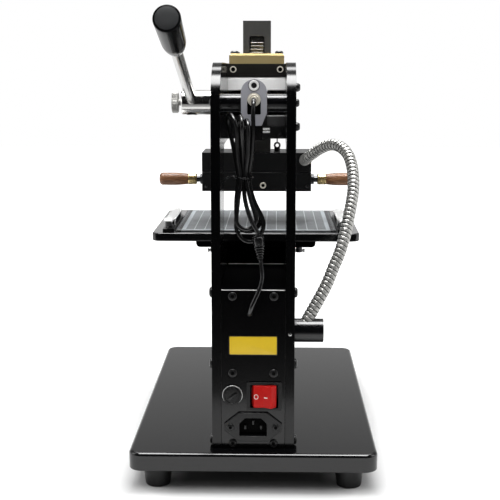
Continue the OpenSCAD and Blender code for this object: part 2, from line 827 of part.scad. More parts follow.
module power_relay() {
    color([0.75, 0.74, 0.7]) difference() {
        block([-relay_w / 2, relay_front, base_top],
            [relay_w / 2, relay_front + relay_d, base_top + relay_h]);
        for (sx = [-1, 1], sy = [0, 1]) rod_z(base_top + relay_h - relay_hole_h, base_top + relay_h + cut,
            sx * (relay_w / 2 - relay_hole_in),
                relay_front + (sy > 0 ? relay_d - relay_hole_in : relay_hole_in), relay_hole_d);
    }
}

// Head

module ram_hole(clear, z0, z1) {
    block([-ram_w / 2 - clear, ram_y - ram_w / 2 - clear, z0 - cut],
        [ram_w / 2 + clear, ram_y + ram_w / 2 + clear, z1 + cut]);
}

module spring_bores(z0, z1) {
    for (sx = [-1, 1]) rod_z(z0, z1, sx * spring_x, ram_y, spring_bore_d);
}

module upper_block() {
    color([0.1, 0.1, 0.1]) difference() {
        block([-in_x + fit, block_front, bar_top], [in_x - fit, block_rear, upper_top]);
        ram_hole(block_gap, bar_top, upper_top);
        spring_bores(bar_top - cut, bar_top + spring_seat);
        bolt_holes();
    }
}

module brass_guide() {
    half_y = (block_rear - block_front) / 2;
    color([0.72, 0.6, 0.32]) difference() {
        intersection() {
            along_y(block_front, block_rear) polygon([[-brass_w / 2, upper_top], [brass_w / 2, upper_top],
                [brass_w / 2, upper_top + brass_h - brass_bevel],
                    [brass_w / 2 - brass_bevel, upper_top + brass_h],
                [-brass_w / 2 + brass_bevel, upper_top + brass_h],
                    [-brass_w / 2, upper_top + brass_h - brass_bevel]]);
            translate([0, block_front + half_y, 0]) along_x(-brass_w, 2 * brass_w)
                polygon([[-half_y, upper_top],
                [half_y, upper_top], [half_y, upper_top + brass_h - brass_bevel],
                [half_y - brass_bevel, upper_top + brass_h], [-half_y + brass_bevel, upper_top + brass_h],
                [-half_y, upper_top + brass_h - brass_bevel]]);
        }
        ram_hole(ram_clear, upper_top, upper_top + brass_h);
    }
}

module slide_bar() {
    chamfer = 1.6;
    front = ram_rear + ram_clear;
    color([0.85, 0.85, 0.86]) difference() {
        along_x(-in_x + fit, plate_gap - 2 * fit)
            polygon([[front, bar_low], [block_rear - chamfer, bar_low],
            [block_rear, bar_low + chamfer], [block_rear, bar_top - chamfer],
                [block_rear - chamfer, bar_top],
            [front, bar_top]]);
        rod_x(-in_x - cut, in_x + cut, pinion_y, pinion_z, 2 * (tip_r + tip_gap));
        bolt_holes();
    }
}

module lower_block() {
    color([0.2, 0.2, 0.21]) difference() {
        block([-in_x + fit, block_front, head_low], [in_x - fit, block_rear, lower_top]);
        ram_hole(ram_clear, head_low, lower_top);
        spring_bores(head_low - cut, lower_top + cut);
        bolt_holes();
    }
}

module head_front_plate() {
    color([0.06, 0.06, 0.065]) block([-in_x + fit, head_front, head_low],
        [in_x - fit, block_front, upper_top]);
}

module shaft_bushes() {
    color([0.7, 0.55, 0.3]) for (side = [-1, 1]) difference() {
        rod_x(side > 0 ? in_x : -out_x, side > 0 ? out_x : -in_x, pinion_y, pinion_z,
            shaft_d + 6 - 2 * fit);
        rod_x(-out_x - cut, out_x + cut, pinion_y, pinion_z, shaft_d + 2 * run);
    }
}

// Return spring: straight tail, ramp out to the coil, curls, ramp in, straight tail
eye_top = heater_top + 9;
spring_low = eye_top + 0.1;
spring_high = bar_top + spring_seat;
spring_tail = 5;

function spring_points() =
    let (coil_low = spring_low + spring_tail, coil_l = spring_high - spring_low - 2 * spring_tail,
        steps = spring_curls * 8)
    concat([[0, 0, spring_low], [0, 0, spring_low + spring_tail / 2]],
        [for (k = [0:steps])
            let (a = 45 * k, ramp = min(1, k / 8, (steps - k) / 8), rr = spring_r * sin(90 * ramp))
            [rr * cos(a), rr * sin(a), coil_low + coil_l * k / steps]],
        [[0, 0, spring_high - spring_tail / 2], [0, 0, spring_high]]);

module return_spring(side) {
    p = spring_points();
    echo(spring_least_gap = own_gap(p, 6, spring_wire));
    color([0.75, 0.75, 0.76]) translate([side * spring_x, ram_y, 0])
        tube(p, [for (q = p) spring_wire / 2], 6);
}

module return_spring_left() {
    return_spring(-1);
}

module return_spring_right() {
    return_spring(1);
}

// Lever side

function on_lever(s) = [pinion_y + s * cos(lever_angle), pinion_z + s * sin(lever_angle)];
lever_x = out_x + 27.75;
hub_start = out_x + 0.3;
hub_end = hub_start + hub_l;

module along_lever(s0) {
    translate([lever_x, on_lever(s0)[0], on_lever(s0)[1]]) rotate([lever_angle - 90, 0, 0]) children();
}

module pinion_shaft() {
    color([0.8, 0.8, 0.8]) difference() {
        union() {
            rod_x(-out_x, hub_start + fit, pinion_y, pinion_z, shaft_d);
            translate([hub_start, pinion_y, pinion_z]) rotate([0, 90, 0]) rotate_extrude() polygon([[0, 0],
                [hub_d / 2, 0], [hub_d / 2, hub_l - 1.2], [hub_d / 2 - 1.2, hub_l], [0, hub_l]]);
        }
        along_lever(-hub_d) cylinder(d = lever_d + 2 * fit, h = 2 * hub_d);
        translate([lever_x, pinion_y, pinion_z]) rotate([lever_angle, 0, 0]) translate([0, 0, -hub_d])
            cylinder(d = lever_d + 2 * fit, h = 2 * hub_d);
        rod_x(lever_x + lever_d / 2, hub_end + cut, pinion_y, pinion_z, 6 + 2 * run);
    }
}

module drive_pinion() {
    color([0.6, 0.6, 0.6]) translate([0, pinion_y, pinion_z]) difference() {
        along_x(-rack_w / 2 + 0.3, rack_w - 0.6) pinion_profile();
        rod_x(-rack_w, rack_w, 0, 0, shaft_d + 0.04);
    }
}

module lever_rod() {
    color([0.82, 0.82, 0.82]) along_lever(-hub_d / 2 - 2)
        cylinder(d = lever_d, h = lever_l - knob_l + 40 + hub_d / 2);
}

module lever_knob() {
    neck_d = lever_d + 3;
    taper_l = knob_l * 0.32;
    color([0.05, 0.05, 0.055]) along_lever(lever_l - knob_l) difference() {
        rotate_extrude() polygon([[0, 0], [neck_d / 2, 0], [knob_d * 0.36, taper_l * 0.35],
            [knob_d * 0.43, taper_l * 0.7],
            [knob_d * 0.47, taper_l], [knob_d / 2, knob_l - 1.5], [knob_d / 2 - 0.5, knob_l - 0.5],
            [knob_d / 2 - 1.5, knob_l], [0, knob_l]]);
        translate([0, 0, -cut]) cylinder(d = lever_d + 2 * fit, h = 39 + cut);
    }
}

module thumb_screw() {
    head_x = hub_end + 3;
    color([0.8, 0.8, 0.78]) translate([0, pinion_y, pinion_z]) {
        translate([head_x, 0, 0]) rotate([0, 90, 0]) rotate_extrude()
            polygon([[0, 0], [thumb_d / 2 - 0.6, 0],
            [thumb_d / 2, 0.6], [thumb_d / 2, thumb_t - 0.6], [thumb_d / 2 - 0.6, thumb_t], [0, thumb_t]]);
        rod_x(lever_x + lever_d / 2 + 0.4, head_x + fit, 0, 0, 6);
    }
}

// Ram and heater

module rack_slot(clear) {
    along_y(ram_rear - rack_depth - clear, ram_rear + cut) union() {
        translate([-rack_slot_w / 2, heater_top + 12])
            square([rack_slot_w, rack_top - rack_slot_r - heater_top - 12]);
        translate([-rack_slot_w / 2 + rack_slot_r, heater_top + 12])
            square([rack_slot_w - 2 * rack_slot_r, rack_top - heater_top - 12]);
        for (sx = [-1, 1]) translate([sx * (rack_slot_w / 2 - rack_slot_r), rack_top - rack_slot_r])
            circle(rack_slot_r);
    }
}

module ram() {
    color([0.27, 0.27, 0.28]) difference() {
        block([-ram_w / 2, ram_y - ram_w / 2, heater_top], [ram_w / 2, ram_rear, ram_top]);
        rack_slot(0);
    }
}

module ram_rack() {
    color([0.45, 0.45, 0.45]) along_x(-rack_w / 2, rack_w) rack_profile(heater_top + 12, rack_top - 1);
}

module heater_block() {
    color([0.06, 0.06, 0.06]) difference() {
        block([-heater_w / 2, ram_y - heater_d / 2, heater_low],
            [heater_w / 2, ram_y + heater_d / 2, heater_top]);
        along_y(ram_y - heater_d / 2 - cut, ram_y + heater_d / 2 - tongue_stop) {
            translate([-tongue_neck_w / 2 - tongue_gap, heater_low - cut])
                square([tongue_neck_w + 2 * tongue_gap, tongue_h + cut]);
            translate([-tongue_w / 2 - tongue_gap, heater_low + tongue_neck_h - die_gap - tongue_gap])
                square([tongue_w + 2 * tongue_gap, tongue_h - tongue_neck_h + 2 * tongue_gap]);
        }
        for (y = cartridge_y) rod_x(-heater_w / 2 - cut, heater_w / 2 + cut, y, cartridge_z,
            cartridge_d + 2 * fit);
        rod_y(hose_port.y - 10, hose_port.y + cut, hose_port.x, hose_port.z, hose_bore_d);
    }
}

cartridge_y = [ram_y - 14, ram_y + 14];
cartridge_z = heater_top - 6;

module heater_cartridges() {
    color([0.7, 0.7, 0.7]) for (y = cartridge_y)
        rod_x(-heater_w / 2 + 2, heater_w / 2 - 2, y, cartridge_z, cartridge_d);
}

module spring_eyes() {
    ring_r = 2.6;
    wire_r = 0.9;
    color([0.7, 0.7, 0.7]) for (sx = [-1, 1]) translate([sx * spring_x, ram_y, 0]) {
        rod_z(heater_top, heater_top + 3.5, 0, 0, 6);
        translate([0, 0, eye_top - ring_r - wire_r]) rotate([90, 0, 0]) rotate_extrude()
            translate([ring_r, 0]) circle(wire_r, $fn = 16);
    }
}

module die_holder() {
    color([0.06, 0.06, 0.06]) {
        block([-heater_w / 2, ram_y - heater_d / 2, die_low],
            [heater_w / 2, ram_y + heater_d / 2, die_top]);
        along_y(ram_y - heater_d / 2, ram_y + heater_d / 2 - tongue_stop - 0.3) {
            translate([-tongue_neck_w / 2, die_top - fit]) square([tongue_neck_w, tongue_h]);
            translate([-tongue_w / 2, heater_low + tongue_neck_h - die_gap])
                square([tongue_w, tongue_h - tongue_neck_h]);
        }
    }
}

module handle_studs() {
    color([0.3, 0.3, 0.31]) for (sx = [-1, 1]) translate([sx * heater_w / 2, ram_y, handle_z])
        rotate([0, sx * 90, 0]) {
        cylinder(d = 10.4, h = 3.6, $fn = 6);
        cylinder(d = 6, h = stud_l + ferrule_l + 12);
    }
}

module handle_ferrules() {
    color([0.78, 0.62, 0.3]) for (sx = [-1, 1])
        translate([sx * (heater_w / 2 + stud_l), ram_y, handle_z]) rotate([0, sx * 90, 0])
        difference() {
            rotate_extrude() polygon([[0, 0], [ferrule_d / 2 - 0.8, 0], [ferrule_d / 2, 0.8],
                [ferrule_d / 2, ferrule_l], [0, ferrule_l]]);
            translate([0, 0, -cut]) cylinder(d = 6 + 2 * fit, h = ferrule_l + 2 * cut);
        }
}

module handle_grips() {
    r = grip_d / 2;
    color([0.35, 0.19, 0.1]) for (sx = [-1, 1])
        translate([sx * (heater_w / 2 + stud_l + ferrule_l), ram_y, handle_z]) rotate([0, sx * 90, 0])
        difference() {
            rotate_extrude() polygon([[0, 0], [ferrule_d / 2, 0], [r * 0.93, grip_l * 0.25],
                [r, grip_l * 0.55], [r * 0.98, grip_l * 0.85],
                [r * 0.9, grip_l * 0.95], [r * 0.7, grip_l], [0, grip_l]]);
            translate([0, 0, -cut]) cylinder(d = 6 + 2 * fit, h = 12.1 + cut);
        }
}

// Table

module table_plate() {
    color([0.07, 0.07, 0.075]) translate([0, table_y, table_low]) difference() {
        linear_extrude(table_t) rounded(table_w, table_d, table_corner_r);
    }
}

module table_mat() {
    color([0.18, 0.19, 0.2]) translate([0, table_y, table_top]) linear_extrude(mat_t)
        rounded(mat_w, mat_d, 1.5);
}

module table_slide() {
    color([0.06, 0.06, 0.065]) difference() {
        union() {
            along_y(slide_back - slide_l, slide_back) difference() {
                translate([-slide_w / 2, slide_low]) square([slide_w, slide_t]);
                corner_cut([-slide_w / 2, slide_low], [1, 1], slide_round);
                corner_cut([slide_w / 2, slide_low], [-1, 1], slide_round);
            }
            block([-key_w / 2, slide_back - slide_l + 20, bed_top - key_h],
                [key_w / 2, shelf_front - 1, slide_low + fit]);
        }
        for (sx = [-1, 1]) rod_z(slide_low - cut, slide_low + slide_t - 1, sx * lock_x, lock_y,
            bolt_d + 2 * run);
    }
}

module table_lock(side) {
    color([0.15, 0.15, 0.15]) translate([side * lock_x, lock_y, 0]) {
        rotate_extrude() polygon([[0, slide_low - 9.3], [5, slide_low - 9.3], [5.5, slide_low - 8.8],
            [5.5, slide_low - 4.9],
            [4.6, slide_low - 4.5], [4.6, slide_low - 0.3], [0, slide_low - 0.3]]);
        rod_z(slide_low - 1, slide_low + slide_t - 1.3, 0, 0, bolt_d);
    }
}

module table_lock_left() {
    table_lock(-1);
}

module table_lock_right() {
    table_lock(1);
}

// Clamps

module clamp_base(side) {
    translate([side * clamp_x, 0, 0]) {
        block([-clamp_w / 2, clamp_front, table_top], [clamp_w / 2, clamp_back, table_top + clamp_base_t]);
        difference() {
            along_x(-clamp_post_w / 2, clamp_post_w) {
                translate([clamp_pin_y - clamp_post_l / 2, table_top + clamp_base_t - fit])
                    square([clamp_post_l, clamp_pin_z - table_top - clamp_base_t]);
                translate([clamp_pin_y, clamp_pin_z]) circle(clamp_post_r);
            }
            rod_x(-clamp_w, clamp_w, clamp_pin_y, clamp_pin_z, clamp_pin_d + 0.02);
        }
        rod_x(-clamp_lever_w / 2, clamp_lever_w / 2, clamp_pin_y, clamp_pin_z, clamp_pin_d);
    }
}

module clamp_bases() {
    color([0.08, 0.08, 0.08]) for (side = [-1, 1]) clamp_base(side);
}

// Lever of a clamp: a strip with two cheeks round the post, a raised rear end and two pads
module clamp_lever(side) {
    w = clamp_lever_w;
    cheek = 1.2;
    rise = 2.6;
    color([0.8, 0.8, 0.8]) translate([side * clamp_x, 0, 0]) {
        difference() {
            union() {
                intersection() {
                    along_x(-w / 2, w) polygon([[clamp_front, clamp_top - clamp_skin],
                        [clamp_pin_y, clamp_top - clamp_skin],
                        [clamp_back - 12, clamp_top + rise - clamp_skin],
                            [clamp_back, clamp_top + rise - clamp_skin],
                        [clamp_back, clamp_top + rise], [clamp_back - 12, clamp_top + rise],
                        [clamp_pin_y, clamp_top], [clamp_front, clamp_top]]);
                    translate([0, 0, clamp_top - 5]) linear_extrude(10) union() {
                        translate([-w / 2, clamp_front + w / 2]) square([w, clamp_l - w / 2]);
                        translate([0, clamp_front + w / 2]) circle(w / 2);
                    }
                }
                for (sx = [-1, 1]) along_x(sx > 0 ? w / 2 - cheek : -w / 2, cheek) {
                    translate([clamp_pin_y, clamp_pin_z]) circle(clamp_cheek_r);
                    translate([clamp_pin_y - clamp_cheek_r, clamp_pin_z])
                        square([2 * clamp_cheek_r, clamp_top - clamp_skin - clamp_pin_z + fit]);
                }
            }
            rod_x(-w, w, clamp_pin_y, clamp_pin_z, clamp_pin_d + 2 * run);
        }
        color([0.05, 0.05, 0.05]) rod_z(clamp_top + rise - clamp_skin - 6.2,
            clamp_top + rise - clamp_skin, 0, clamp_back - 5, 7);
        color([0.05, 0.05, 0.05]) block([-w / 2 + 1, clamp_front + 5, table_top + clamp_base_t + 0.3],
            [w / 2 - 1, clamp_front + 20, clamp_top - clamp_skin]);
    }
}

module clamp_lever_left() {
    clamp_lever(-1);
}

module clamp_lever_right() {
    clamp_lever(1);
}

// Lamp

module lamp_bracket() {
    mid = (bracket_top + bracket_low) / 2;
    h = bracket_top - bracket_low;
    color([0.55, 0.55, 0.6]) difference() {
        union() {
            along_y(bracket_y, bracket_y + bracket_t) union() {
                translate([0, bracket_top - bracket_w / 2]) circle(bracket_w / 2);
                translate([-bracket_w / 2, tie_z - 8])
                    square([bracket_w, bracket_top - bracket_w / 2 - tie_z + 8]);
                polygon([[-bracket_w / 2, tie_z - 7.9], [-bracket_w * 0.3, bracket_low],
                    [bracket_w * 0.3, bracket_low], [bracket_w / 2, tie_z - 7.9]]);
            }
            rod_x(-bracket_w / 2, bracket_w / 2, tie_y, tie_z, tie_d + 7);
            block([-bracket_w / 2, tie_y, tie_z - 6], [bracket_w / 2, bracket_y + fit, tie_z + 6]);
        }
        rod_x(-bracket_w, bracket_w, tie_y, tie_z, tie_d + 2 * fit);
        along_y(bracket_y + 1.2, bracket_y + bracket_t + cut) union() {
            translate([0, gland_z]) circle(slot_w / 2);
            translate([-slot_w / 2, gland_z - 13]) square([slot_w, 13]);
        }
    }
}

module lamp_body() {
    top = tie_z - tie_d / 2 - 3.5 - fit;
    low = top - 21;
    color([0.09, 0.09, 0.1]) difference() {
        along_x(-lamp_w / 2, lamp_w) polygon([[tie_y - lamp_d / 2, top], [tie_y - lamp_d / 2, low + 9],
            [tie_y - lamp_d / 2 + 9, low], [tie_y + lamp_d / 2, low], [tie_y + lamp_d / 2, top]]);
        translate([0, tie_y - lamp_d / 2 + 4.5, low + 4.5]) rotate([135, 0, 0]) translate([0, 0, -2])
            cylinder(d = 8, h = 6);
        rod_x(-lamp_w, lamp_w, tie_y, tie_z, tie_d + 7 + 2 * fit);
    }
}

module cord_gland() {
    color([0.78, 0.76, 0.68]) translate([0, bracket_y + 1.2 + fit, gland_z]) rotate([-90, 0, 0])
        rotate_extrude()
        polygon([[0, 0], [slot_w / 2 - 0.2, 0], [slot_w / 2 - 0.2, gland_end - bracket_y - 6],
            [slot_w / 2 - 1, gland_end - bracket_y - 3.6],
            [3.4, gland_end - bracket_y - 1.9], [2.4, gland_end - bracket_y - 1.2 - fit],
                [0, gland_end - bracket_y - 1.2 - fit]]);
}

// Hose

module hose_stub() {
    color([0.05, 0.05, 0.055]) difference() {
        union() {
            rod_x(-out_x - stub_l, -out_x, stub_pos[0], stub_pos[1], stub_d);
            rod_x(-out_x - fit, -in_x, stub_pos[0], stub_pos[1], stub_spigot_d);
        }
        rod_x(-out_x - stub_l + 3, -in_x + cut, stub_pos[0], stub_pos[1], 12);
        rod_z(stub_pos[1], stub_pos[1] + stub_d, stub_axis_x, stub_pos[0], hose_d + 0.6);
    }
}

// Path of the hose: straight out of the heater's port, along its route, straight down into the stub
stub_mouth = [stub_axis_x, stub_pos[0], stub_pos[1] + 6.6];
hose_start = hose_port + [0, hose_seat_gap, 0];
hose_slack = stub_mouth - hose_start - hose_way;
hose_path = spline(concat([hose_start, hose_start + [0, 3, 0], hose_start + [0, 6, 0]],
    [for (i = [0:len(hose_route) - 1]) hose_start + hose_route[i] + hose_slack * (i + 1) / len(hose_route)],
    [stub_mouth + [0, 0, 11], stub_mouth]), 6);

module heater_hose() {
    p = even_path(hose_path, 2 * hose_ribs);
    color([0.6, 0.6, 0.58]) hollow_tube(p,
        [for (i = [0:len(p) - 1]) hose_d / 2 - (i % 2 == 0 ? hose_rib : 0)], hose_bore_d / 2, 8);
}

// Lead

function hank_at(across, deep, z) = hank_mid + [-across, deep, z];

function waist_at(place, z) = hank_at(waist_pitch * place[0], waist_row * place[1], z);

// Points of a fold: out from the waist, round past the half circle, and back towards the waist
function fold_points(f) =
    let (level = f[5], way = sign(level), mid = (f[2] + f[3]) / 2, half = (f[2] - f[3]) / 2)
    concat([waist_at(f[0], way * waist_straight), hank_at(f[1][0], f[1][1], level / 2)],
        [for (k = [0:fold_steps])
            let (a = (180 + 2 * fold_over) * k / fold_steps - fold_over, over = f[6] * sin(a))
            hank_at(mid[0] + half[0] * cos(a) + f[7] * over, mid[1] + half[1] * cos(a), level + over)],
        [hank_at(f[4][0], f[4][1], level / 2)]);

// Straight pieces where the lead comes to the waist and where it runs into the connector
connector_dir = unit(connector_low - connector_top);
waist_in = [for (k = [2:-1:0]) waist_at(hank_folds[0][0], k * waist_straight)];
connector_in = [for (k = [2:-1:0]) connector_top - k * 1.5 * connector_dir];
hank_points = concat([for (f = hank_folds) each fold_points(f)], [waist_at([0, 0], waist_straight)],
    [waist_at([0, 0], -waist_straight)], run_out, connector_in);
cord_points = concat(lead_route, waist_in, [hank_points[0], hank_points[0] - [0, 0, waist_straight]],
    [for (i = [1:len(hank_points) - 1]) hank_points[i]]);

// The lead and the hank share one curve, parted at the waist
part_at = hank_steps * (len(lead_route) + len(waist_in) - 1);
cord_path = spline(cord_points, hank_steps);
lead_path = [for (i = [0:part_at]) cord_path[i]];
hank_path = [for (i = [part_at:len(cord_path) - 1]) cord_path[i]];

module cord_hank() {
    fine = spline(cord_points, 3 * hank_steps);
    echo(hank_least_gap = own_gap(fine, 18 * hank_steps, cord_d));
    color([0.03, 0.03, 0.03]) tube(hank_path, [for (q = hank_path) cord_d / 2], hank_sides);
}

module cord_lead() {
    color([0.03, 0.03, 0.03]) tube(lead_path, [for (q = lead_path) cord_d / 2], hank_sides);
}

module cord_connector() {
    l = norm(connector_low - connector_top);
    turn = [0, acos(connector_dir.z), atan2(connector_dir.y, connector_dir.x)];
    color([0.03, 0.03, 0.03]) translate(connector_top) rotate(turn) {
        rotate_extrude() polygon([[0, 0], [connector_d / 2 - 1, 0], [connector_d / 2, 1],
            [connector_d / 2, l * 0.45],
            [connector_d / 2 - 0.8, l * 0.52], [cord_d / 2 + 0.8, l], [0, l]]);
        for (k = [0:3]) translate([0, 0, l * (0.58 + 0.1 * k)])
            cylinder(d = connector_d - 1 - 0.9 * k, h = 1.5);
    }
}

module cord_tail() {
    hole = [cord_hole.x, back_y + 1, cord_hole.y];
    p = spline(concat([for (k = [0:2]) connector_low + 1.5 * k * connector_dir], tail_route,
        [hole + [0, 4.2, 1.2], hole, hole - [0, 6, 0]]), 2);
    color([0.03, 0.03, 0.03]) tube(p, [for (q = p) cord_d / 2], 8);
}

base_plate();
base_feet();
side_plate_left();
side_plate_right();
rear_cover();
shelf_plate();
table_bed();
front_panel();
controller_case();
controller_button_set();
controller_button_down();
controller_button_up();
power_inlet();
fuse_holder();
fuse_cap();
switch_bezel();
switch_rocker();
power_relay();
cross_bars();
frame_bolts();
tie_rod();
upper_block();
brass_guide();
slide_bar();
lower_block();
head_front_plate();
shaft_bushes();
return_spring_left();
return_spring_right();
lamp_bracket();
lamp_body();
cord_gland();
hose_stub();
heater_hose();
pinion_shaft();
drive_pinion();
lever_rod();
lever_knob();
thumb_screw();
ram();
ram_rack();
heater_block();
heater_cartridges();
spring_eyes();
die_holder();
handle_studs();
handle_ferrules();
handle_grips();
table_plate();
table_mat();
table_slide();
clamp_bases();
clamp_lever_left();
clamp_lever_right();
table_lock_left();
table_lock_right();
cord_lead();
cord_hank();
cord_connector();
cord_tail();
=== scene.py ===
from functools import partial
from math import atan2, copysign, cos, pi, radians, sin, sqrt

import bpy
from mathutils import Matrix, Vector


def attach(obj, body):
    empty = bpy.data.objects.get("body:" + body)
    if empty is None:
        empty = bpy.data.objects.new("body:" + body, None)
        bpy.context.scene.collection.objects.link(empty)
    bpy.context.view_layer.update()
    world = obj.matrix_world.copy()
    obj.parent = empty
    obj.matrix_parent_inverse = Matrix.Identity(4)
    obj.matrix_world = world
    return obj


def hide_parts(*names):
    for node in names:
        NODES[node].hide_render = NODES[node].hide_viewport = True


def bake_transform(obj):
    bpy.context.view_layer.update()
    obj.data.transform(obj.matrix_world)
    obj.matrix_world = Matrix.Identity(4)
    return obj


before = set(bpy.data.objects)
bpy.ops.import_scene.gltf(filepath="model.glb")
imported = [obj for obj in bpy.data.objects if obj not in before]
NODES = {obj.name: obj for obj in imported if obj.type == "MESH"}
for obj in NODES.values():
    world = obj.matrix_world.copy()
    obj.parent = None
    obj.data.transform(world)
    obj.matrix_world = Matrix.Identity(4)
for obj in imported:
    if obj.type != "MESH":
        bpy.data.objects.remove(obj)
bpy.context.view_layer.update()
SCENE = bpy.context.scene
MM = 0.001

# Sizes and places on the part in millimetres and degrees, as in its source
OUT_X, BACK_Y = 36.25, 167.0  # outer faces of the side plates, rear face of the cover
RAM_Y, BLOCK_Y, DIE_Y = -15.0, 13.5, 13.0  # middle of the ram, rear of the head's blocks and die holder
PINION = (8.75, 336.3)
LEVER_X, LEVER_ANGLE, LEVER_L, KNOB_L, KNOB_D = 64.0, 16.5, 248.0, 77.0, 22.0
HEATER_W, HANDLE_Z, STUD_L, FERRULE_L = 109.0, 258.05, 7, 8.8
CORD_D, HOSE_D = 3.8, 11.2
BASE_W, BASE_L, BASE_R, BASE_LOW, BASE_TOP = 220, 364, 12, 20.0, 36.5
COVER_SCREWS = [(x, z) for x in (-18, 18) for z in (174.5, 105.6, 41.5)]
INLET_Z, INLET_FACE, INLET_SCREWS = 56.8, BACK_Y + 2.5, (-20, 20)
FUSE_X, FUSE_Z, SIGN_Z = 18.2, 85.9, 130.65
BRACKET_EYE = (0, 140.2, 354.8)
BLOCK_SCREWS, BLOCK_SCREW_Z = (-23, 23), 368.6
HEATER_SCREW = (-6.5, DIE_Y, 254.5)
CLAMP_X, LOCK_X = 84.5, 42.5
OUTWARD = (0, 1, 0)  # direction out of a rear face
SIDES = ((-1, "left"), (1, "right"))


def add_object(name, data):
    obj = bpy.data.objects.new(name, data)
    SCENE.collection.objects.link(obj)
    return obj


def add_aimed(name, data, at, direction):
    """A camera or lamp that looks in a direction."""
    obj = add_object(name, data)
    obj.location = at
    obj.rotation_euler = direction.to_track_quat("-Z", "Y").to_euler()
    return obj


# Camera

def make_camera():
    yaw, pitch = radians(1.4), radians(9.7)
    look = Vector((sin(yaw) * cos(pitch), -cos(yaw) * cos(pitch), -sin(pitch)))
    data = bpy.data.cameras.new("camera")
    data.lens, data.sensor_width = 75.6, 36.0
    data.clip_start, data.clip_end = 0.01, 50.0
    SCENE.camera = add_aimed("camera", data, (-0.019, 1.057, 0.3675), look)


make_camera()


# Materials

RELIEF = 0.0002  # metres that a bump of strength 1 stands for
COAT_ROUGH = 0.08


class Nodes:
    """Nodes of a material or of the world, with short calls for the ones used here."""

    def __init__(self, tree, coords):
        self.nodes, self.links = tree.nodes, tree.links
        self.coords = self.nodes.new("ShaderNodeTexCoord").outputs[coords]

    def put(self, socket, value):
        if isinstance(value, bpy.types.NodeSocket):
            self.links.new(value, socket)
        elif value is not None:
            socket.default_value = value

    def math(self, operation, a, b=None):
        node = self.nodes.new("ShaderNodeMath")
        node.operation = operation
        for socket, value in zip(node.inputs, (a, b)):
            self.put(socket, value)
        return node.outputs[0]

    def axes(self):
        node = self.nodes.new("ShaderNodeSeparateXYZ")
        self.put(node.inputs[0], self.coords)
        return node.outputs[0], node.outputs[1], node.outputs[2]

    def stretched(self, scale):
        node = self.nodes.new("ShaderNodeMapping")
        self.put(node.inputs["Vector"], self.coords)
        node.inputs["Scale"].default_value = scale
        return node.outputs[0]

    def noise(self, scale, detail=3.0, rough=0.55, vector=None, warp=0.0):
        node = self.nodes.new("ShaderNodeTexNoise")
        self.put(node.inputs["Vector"], vector or self.coords)
        node.inputs["Scale"].default_value = scale
        node.inputs["Detail"].default_value = detail
        node.inputs["Roughness"].default_value = rough
        node.inputs["Distortion"].default_value = warp
        return node.outputs["Fac"]

    def spread(self, value, low, high, start=0.25, end=0.75, kind="LINEAR"):
        """Low to high while value goes from start to end."""
        node = self.nodes.new("ShaderNodeMapRange")
        node.interpolation_type = kind
        for socket, v in zip(node.inputs, (value, start, end, low, high)):
            self.put(socket, v)
        return node.outputs[0]

    def mix(self, share, a, b):
        node = self.nodes.new("ShaderNodeMix")
        node.data_type = "RGBA"
        self.put(node.inputs[0], share)
        for socket, value in ((node.inputs[6], a), (node.inputs[7], b)):
            self.put(socket, (*value, 1.0) if isinstance(value, tuple) else value)
        return node.outputs[2]


class Tree(Nodes):
    """A material round one Principled shader."""

    def __init__(self, name):
        self.material = bpy.data.materials.new(name)
        self.material.use_nodes = True
        super().__init__(self.material.node_tree, "Object")
        self.shader = self.nodes["Principled BSDF"]

    def set(self, **values):
        for key, value in values.items():
            name = key.replace("_", " ").title().replace("Ior", "IOR")
            self.put(self.shader.inputs[name], value)

    def bump(self, height, strength):
        node = self.nodes.new("ShaderNodeBump")
        node.inputs["Strength"].default_value = strength
        node.inputs["Distance"].default_value = RELIEF
        self.put(node.inputs["Height"], height)
        self.put(self.shader.inputs["Normal"], node.outputs[0])


def shade(colour, share):
    return tuple(min(1.0, c * share) for c in colour)


def finish(name, colour, rough, metal=0.0, level=0.5, patch=(45.0, 0.18), grain=(1500.0, 0.12), stretch=None,
           spread=0.07, coat=0.0, warm=None, ior=1.5):
    """A painted, moulded or metal surface: slow patches of tone, fine grain in gloss and relief.

    patch is (scale, change of tone), grain is (scale, relief), and stretch draws the grain out."""
    t = Tree(name)
    slow = t.noise(patch[0], 4.0)
    fine = t.noise(grain[0], 2.0, vector=t.stretched(stretch) if stretch else None)
    share = t.math("ADD", t.math("MULTIPLY", slow, 0.6), t.math("MULTIPLY", fine, 0.4))
    dull, bright = shade(colour, 1 - patch[1]), shade(warm or colour, 1 + patch[1])
    t.set(base_color=t.mix(t.spread(share, 0.0, 1.0, 0.3, 0.7), dull, bright),
          roughness=t.spread(fine, max(0.02, rough - spread), rough + spread), metallic=metal,
          specular_ior_level=level, coat_weight=coat, coat_roughness=COAT_ROUGH, ior=ior)
    t.bump(fine, grain[1])
    return t.material


def brushed(name, colour, rough, **more):
    """Metal ground along X, which spreads what it mirrors up and down."""
    material = finish(name, colour, rough, **more)
    nodes, links = material.node_tree.nodes, material.node_tree.links
    shader = nodes["Principled BSDF"]
    tangent = nodes.new("ShaderNodeTangent")
    tangent.direction_type, tangent.axis = "RADIAL", "Z"
    links.new(tangent.outputs[0], shader.inputs["Tangent"])
    shader.inputs["Anisotropic"].default_value = 1.0
    shader.inputs["Anisotropic Rotation"].default_value = 0.25
    return material


